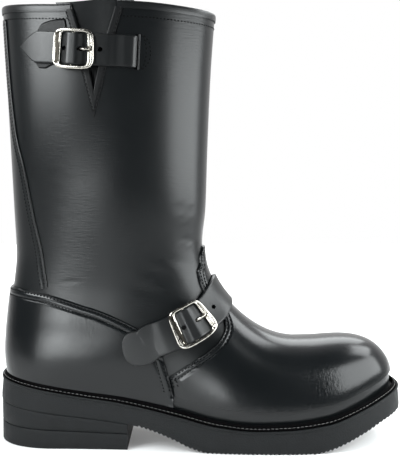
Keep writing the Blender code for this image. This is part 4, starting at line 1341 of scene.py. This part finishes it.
def featherLine(turn, out):
    edge = skin(turn, 0 * turn)
    ahead = skin(turn + 0.01, 0 * turn) - skin(turn - 0.01, 0 * turn)
    sideways = np.stack([ahead[:, 1], -ahead[:, 0], 0 * turn], axis=1)
    return edge + out * sideways / np.linalg.norm(sideways, axis=1, keepdims=True)


def weltPoint(turn, share, height):
    form = weltForm
    inner = featherLine(turn, form["inner"])
    along = (1 - np.cos(turn)) / 2
    low, high = soleForm["back"], soleForm["tip"]
    inset = lookUp(form["inset"], "x", "inset", low + along * (high - low))
    x = low + inset + along * (high - low - 2 * inset)
    y = solePoint(x, np.where(np.sin(turn) >= 0, -1.0, 1.0), inset)
    points = inner * share[:, None] + np.stack([x, y, 0 * x], axis=1) * (1 - share)[:, None]
    points[:, 2] = lookUp(soleForm["rim"], "x", "z", points[:, 0]) - form["bedded"] + height
    return points


def makeWelt():
    section = weltForm["section"]
    steps = np.arange(len(section))

    def place(u, v):
        share, height = (np.interp(v * (len(section) - 1), steps, section[:, k]) for k in range(2))
        return weltPoint(fullTurn * (u % 1), share, height)

    bm = closeUp(bentGrid(weltForm["round"], len(section) - 1, place))
    # its near-black, dull finish is partly painted shade of the crevice between upper and sole
    return addPiece("sewnWelt", bm, "weltLeather", ["welt"], sharp=50)


makeOutsole()
makeHeel()
makeWelt()
print("sole")


# Stitches: each one a small lens of thread laid on its seam

stitchForm = {"long": 1.8, "wide": 1.1, "high": 0.6, "pitch": 2.7, "sunk": 0.2, "onSkin": 0.05, "endGap": 2}
weltStitch = dict(stitchForm, long=2.6, wide=0.9, high=0.7, count=230, share=0.4, lift=1.7)


def addStitches(bm, starts, ends, ups, form):
    for a, b, up in zip(starts, ends, ups):
        axisX = Vector(b - a)
        long = axisX.length
        axisX = axisX.normalized()
        axisY = Vector(up).cross(axisX).normalized()
        axisZ = axisX.cross(axisY)
        turned = Matrix((axisX, axisY, axisZ)).transposed().to_4x4()
        size = Matrix.Diagonal((long / 2 * mm, form["wide"] / 2 * mm, form["high"] / 2 * mm, 1))
        at = Matrix.Translation(Vector((a + b) / 2 * mm)) @ turned @ size
        bmesh.ops.create_uvsphere(bm, u_segments=6, v_segments=5, radius=1, matrix=at)


def sewRow(bm, line, across, lift, start=0.0, end=None):
    form = stitchForm
    end = line.long if end is None else end
    count = max(int((end - start) / form["pitch"]), 1)
    run = start + (np.arange(count) + 0.5) * (end - start) / count
    starts = line.at(run - form["long"] / 2, across, lift)
    ends = line.at(run + form["long"] / 2, across, lift)
    turn, ring = line.spot(run, across)
    addStitches(bm, starts, ends, skinNormal(turn, ring), form)


def sewSeams():
    sunk, onSkin, gap = stitchForm["sunk"], stitchForm["onSkin"], stitchForm["endGap"]
    bm = bmesh.new()
    for line, sign in ((vampLines[0], -1), (vampLines[1], 1)):
        for row in vampForm["sewnRows"]:
            end = line.long - row * vampForm["sewnTip"]
            sewRow(bm, line, sign * row, vampForm["thick"] - sunk, vampForm["sewnFrom"], end)
    addPiece("vampStitches", bm, "darkThread")
    bm = bmesh.new()
    for row in counterForm["sewnRows"]:
        sewRow(bm, counterLine, -row, counterForm["thick"] - sunk, gap, counterLine.long - gap)
    for line, sign in ((counterFrontLines[0], 1), (counterFrontLines[1], -1)):
        for row in counterForm["sewnRows"]:
            start, end = counterForm["sewnFrom"], line.long - gap
            sewRow(bm, line, sign * row, counterForm["thick"] - sunk, start, end)
    addPiece("counterStitches", bm, "darkThread")
    bm = bmesh.new()
    around = np.linspace(0.004, 0.996, 120)
    ring = np.full_like(around, 1 - ringShare(collarForm["sewnDrop"]))
    collarRow = SkinLine(np.stack([ringTurn(around, ring), ring], axis=1), points=900)
    sewRow(bm, collarRow, 0, onSkin)
    for line, sign in ((outerSeam, -1), (innerSeam, 1)):
        for row in sideSeamForm["sewnRows"]:
            sewRow(bm, line, sign * row, sideSeamForm["thick"] - sunk / 2, gap, line.long - gap)
    legs = np.linspace(0.01, 0.99, 80)
    for side in (-1, 1):
        turn, ring = bindingSpot(legs, side, notchForm["sewn"])
        sewRow(bm, SkinLine(np.stack([turn, ring], axis=1)), 0, notchForm["thick"] - sunk)
    for bow in slotForm["bows"]:
        angle = np.linspace(-slotForm["bowTurn"], slotForm["bowTurn"], 40)
        run = topBuckle + slotForm["offset"] + slotForm["wide"] + bow * np.cos(angle)
        turn, ring = topLine.spot(run, slotForm["half"] * np.sin(angle))
        sewRow(bm, SkinLine(np.stack([turn, ring], axis=1)), 0, onSkin)
    addPiece("shaftStitches", bm, "darkThread")


def sewWelt():
    form, count = weltStitch, weltStitch["count"]
    fine = np.linspace(0, fullTurn, 2400)
    path = weltPoint(fine, np.full_like(fine, form["share"]), np.full_like(fine, form["lift"]))
    run = lengths(path)
    places = (np.arange(count) + 0.5) * run[-1] / count

    def pick(at):
        return np.stack([np.interp(at % run[-1], run, path[:, k]) for k in range(3)], axis=-1)

    bm = bmesh.new()
    ups = np.tile([0, 0, 1.0], (count, 1))
    addStitches(bm, pick(places - form["long"] / 2), pick(places + form["long"] / 2), ups, form)
    addPiece("weltStitches", bm, "paleThread")


sewSeams()
sewWelt()
print("stitches")


# The insole's board stays as it was cut, in tan leather
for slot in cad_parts["insole"].material_slots:
    slot.material = finishes["insoleLeather"]


# Studio: white floor, soft boxes and the camera of the photograph

studio = {
    "floorHalf": 1.6, "floorFront": -0.48, "floorColor": (0.80, 0.80, 0.80),
    "floorPaintedGlow": (0.12, 0.95, -0.1, 1.3),  # painted glow of the floor near and far, and the Y of both: it lifts the floor's shadows and whitens the far floor
    "lightColor": (0.95, 0.99, 1.0), "cameraAt": (-0.001, -0.690, 0.2162), "pitch": 4.37, "lens": 69.56,
    "worldBright": 1.0, "worldDark": 0.015, "worldFrom": -0.05, "worldTo": 0.6,
    # name, place, aim, width, height, power, spread in degrees, and whether it shows in reflections
    "boxes": [
        ("leftBox", (-0.439, -0.347, 0.44), (-0.11, -0.04, 0.30), 0.36, 0.31, 5.0, 180, True),
        ("lowCard", (-0.303, -0.551, 0.08), (-0.106, -0.03, 0.08), 0.42, 0.12, 0.134, 44, True),
        ("rightBox", (0.39, -0.13, 0.235), (0.015, 0.20, 0.15), 0.45, 0.27, 2.9, 180, True),
        ("topBox", (0.45, 0.10, 0.55), (0.03, 0, 0.09), 0.30, 0.25, 2.0, 180, True),
        ("backBox", (0.12, 1.0, 1.05), (0.08, 0, 0.06), 1.3, 0.7, 13.0, 180, True),
        ("floorBox", (0.0, 0.0, 1.9), (0, 0, 0), 2.6, 2.6, 14.0, 180, False),
    ],
}


def makeStudio():
    bm = bmesh.new()
    bmesh.ops.create_grid(bm, x_segments=1, y_segments=1, size=studio["floorHalf"])
    for vert in bm.verts:
        vert.co.y = max(vert.co.y, studio["floorFront"])  # the table ends in front of the boot
    mesh = bpy.data.meshes.new("studioFloor")
    bm.to_mesh(mesh)
    bm.free()
    made, tree, shader, place = newFinish("floorWhite")
    dust = addNode(tree, "ShaderNodeTexNoise", {"Vector": place, "Scale": 30})
    tree.links.new(ramp(tree, dust.outputs["Fac"], 0.75, 0.85, 0.3, 0.7), shader.inputs["Roughness"])
    shader.inputs["Base Color"].default_value = (*studio["floorColor"], 1)
    # painted light: the floor glows, more towards the back, lifting its shadows and whitening the far floor
    shader.inputs["Emission Color"].default_value = (1, 1, 1, 1)
    depth = addNode(tree, "ShaderNodeSeparateXYZ", {"Vector": place}).outputs["Y"]
    tree.links.new(ramp(tree, depth, *studio["floorPaintedGlow"]), shader.inputs["Emission Strength"])
    mesh.materials.append(made)
    floor = bpy.data.objects.new("studioFloor", mesh)
    bpy.context.scene.collection.objects.link(floor)
    for name, at, aim, wide, high, power, spreading, shows in studio["boxes"]:
        light = bpy.data.lights.new(name, "AREA")
        light.shape = "RECTANGLE"
        light.size, light.size_y = wide, high
        light.energy = power
        light.color = studio["lightColor"]
        light.spread = math.radians(spreading)
        box = bpy.data.objects.new(name, light)
        box.location = at
        box.rotation_euler = (Vector(aim) - Vector(at)).to_track_quat("-Z", "Y").to_euler()
        box.visible_glossy = shows
        box.visible_camera = False
        bpy.context.scene.collection.objects.link(box)
    camera = bpy.data.cameras.new("photoCamera")
    camera.lens = studio["lens"]
    camera.sensor_width = 36
    seat = bpy.data.objects.new("photoCamera", camera)
    seat.location = studio["cameraAt"]
    seat.rotation_euler = (math.radians(90 - studio["pitch"]), 0, 0)
    bpy.context.scene.collection.objects.link(seat)
    bpy.context.scene.camera = seat


def makeWorld():
    world = bpy.data.worlds.new("studioWorld")
    world.use_nodes = True
    tree = world.node_tree
    way = addNode(tree, "ShaderNodeTexCoord").outputs["Generated"]
    parts = addNode(tree, "ShaderNodeSeparateXYZ", {"Vector": way})
    dark, bright = studio["worldDark"], studio["worldBright"]
    depth = ramp(tree, parts.outputs["Y"], dark, bright, studio["worldFrom"], studio["worldTo"])
    seen = addNode(tree, "ShaderNodeLightPath").outputs["Is Camera Ray"]
    strength = addNode(tree, "ShaderNodeMath", {0: depth, 1: seen}, operation="MAXIMUM")
    back = tree.nodes["Background"]
    tree.links.new(strength.outputs[0], back.inputs["Strength"])
    back.inputs["Color"].default_value = (1, 1, 1, 1)
    bpy.context.scene.world = world
    bpy.context.scene.view_settings.view_transform = "Standard"


makeStudio()
makeWorld()
print("studio")
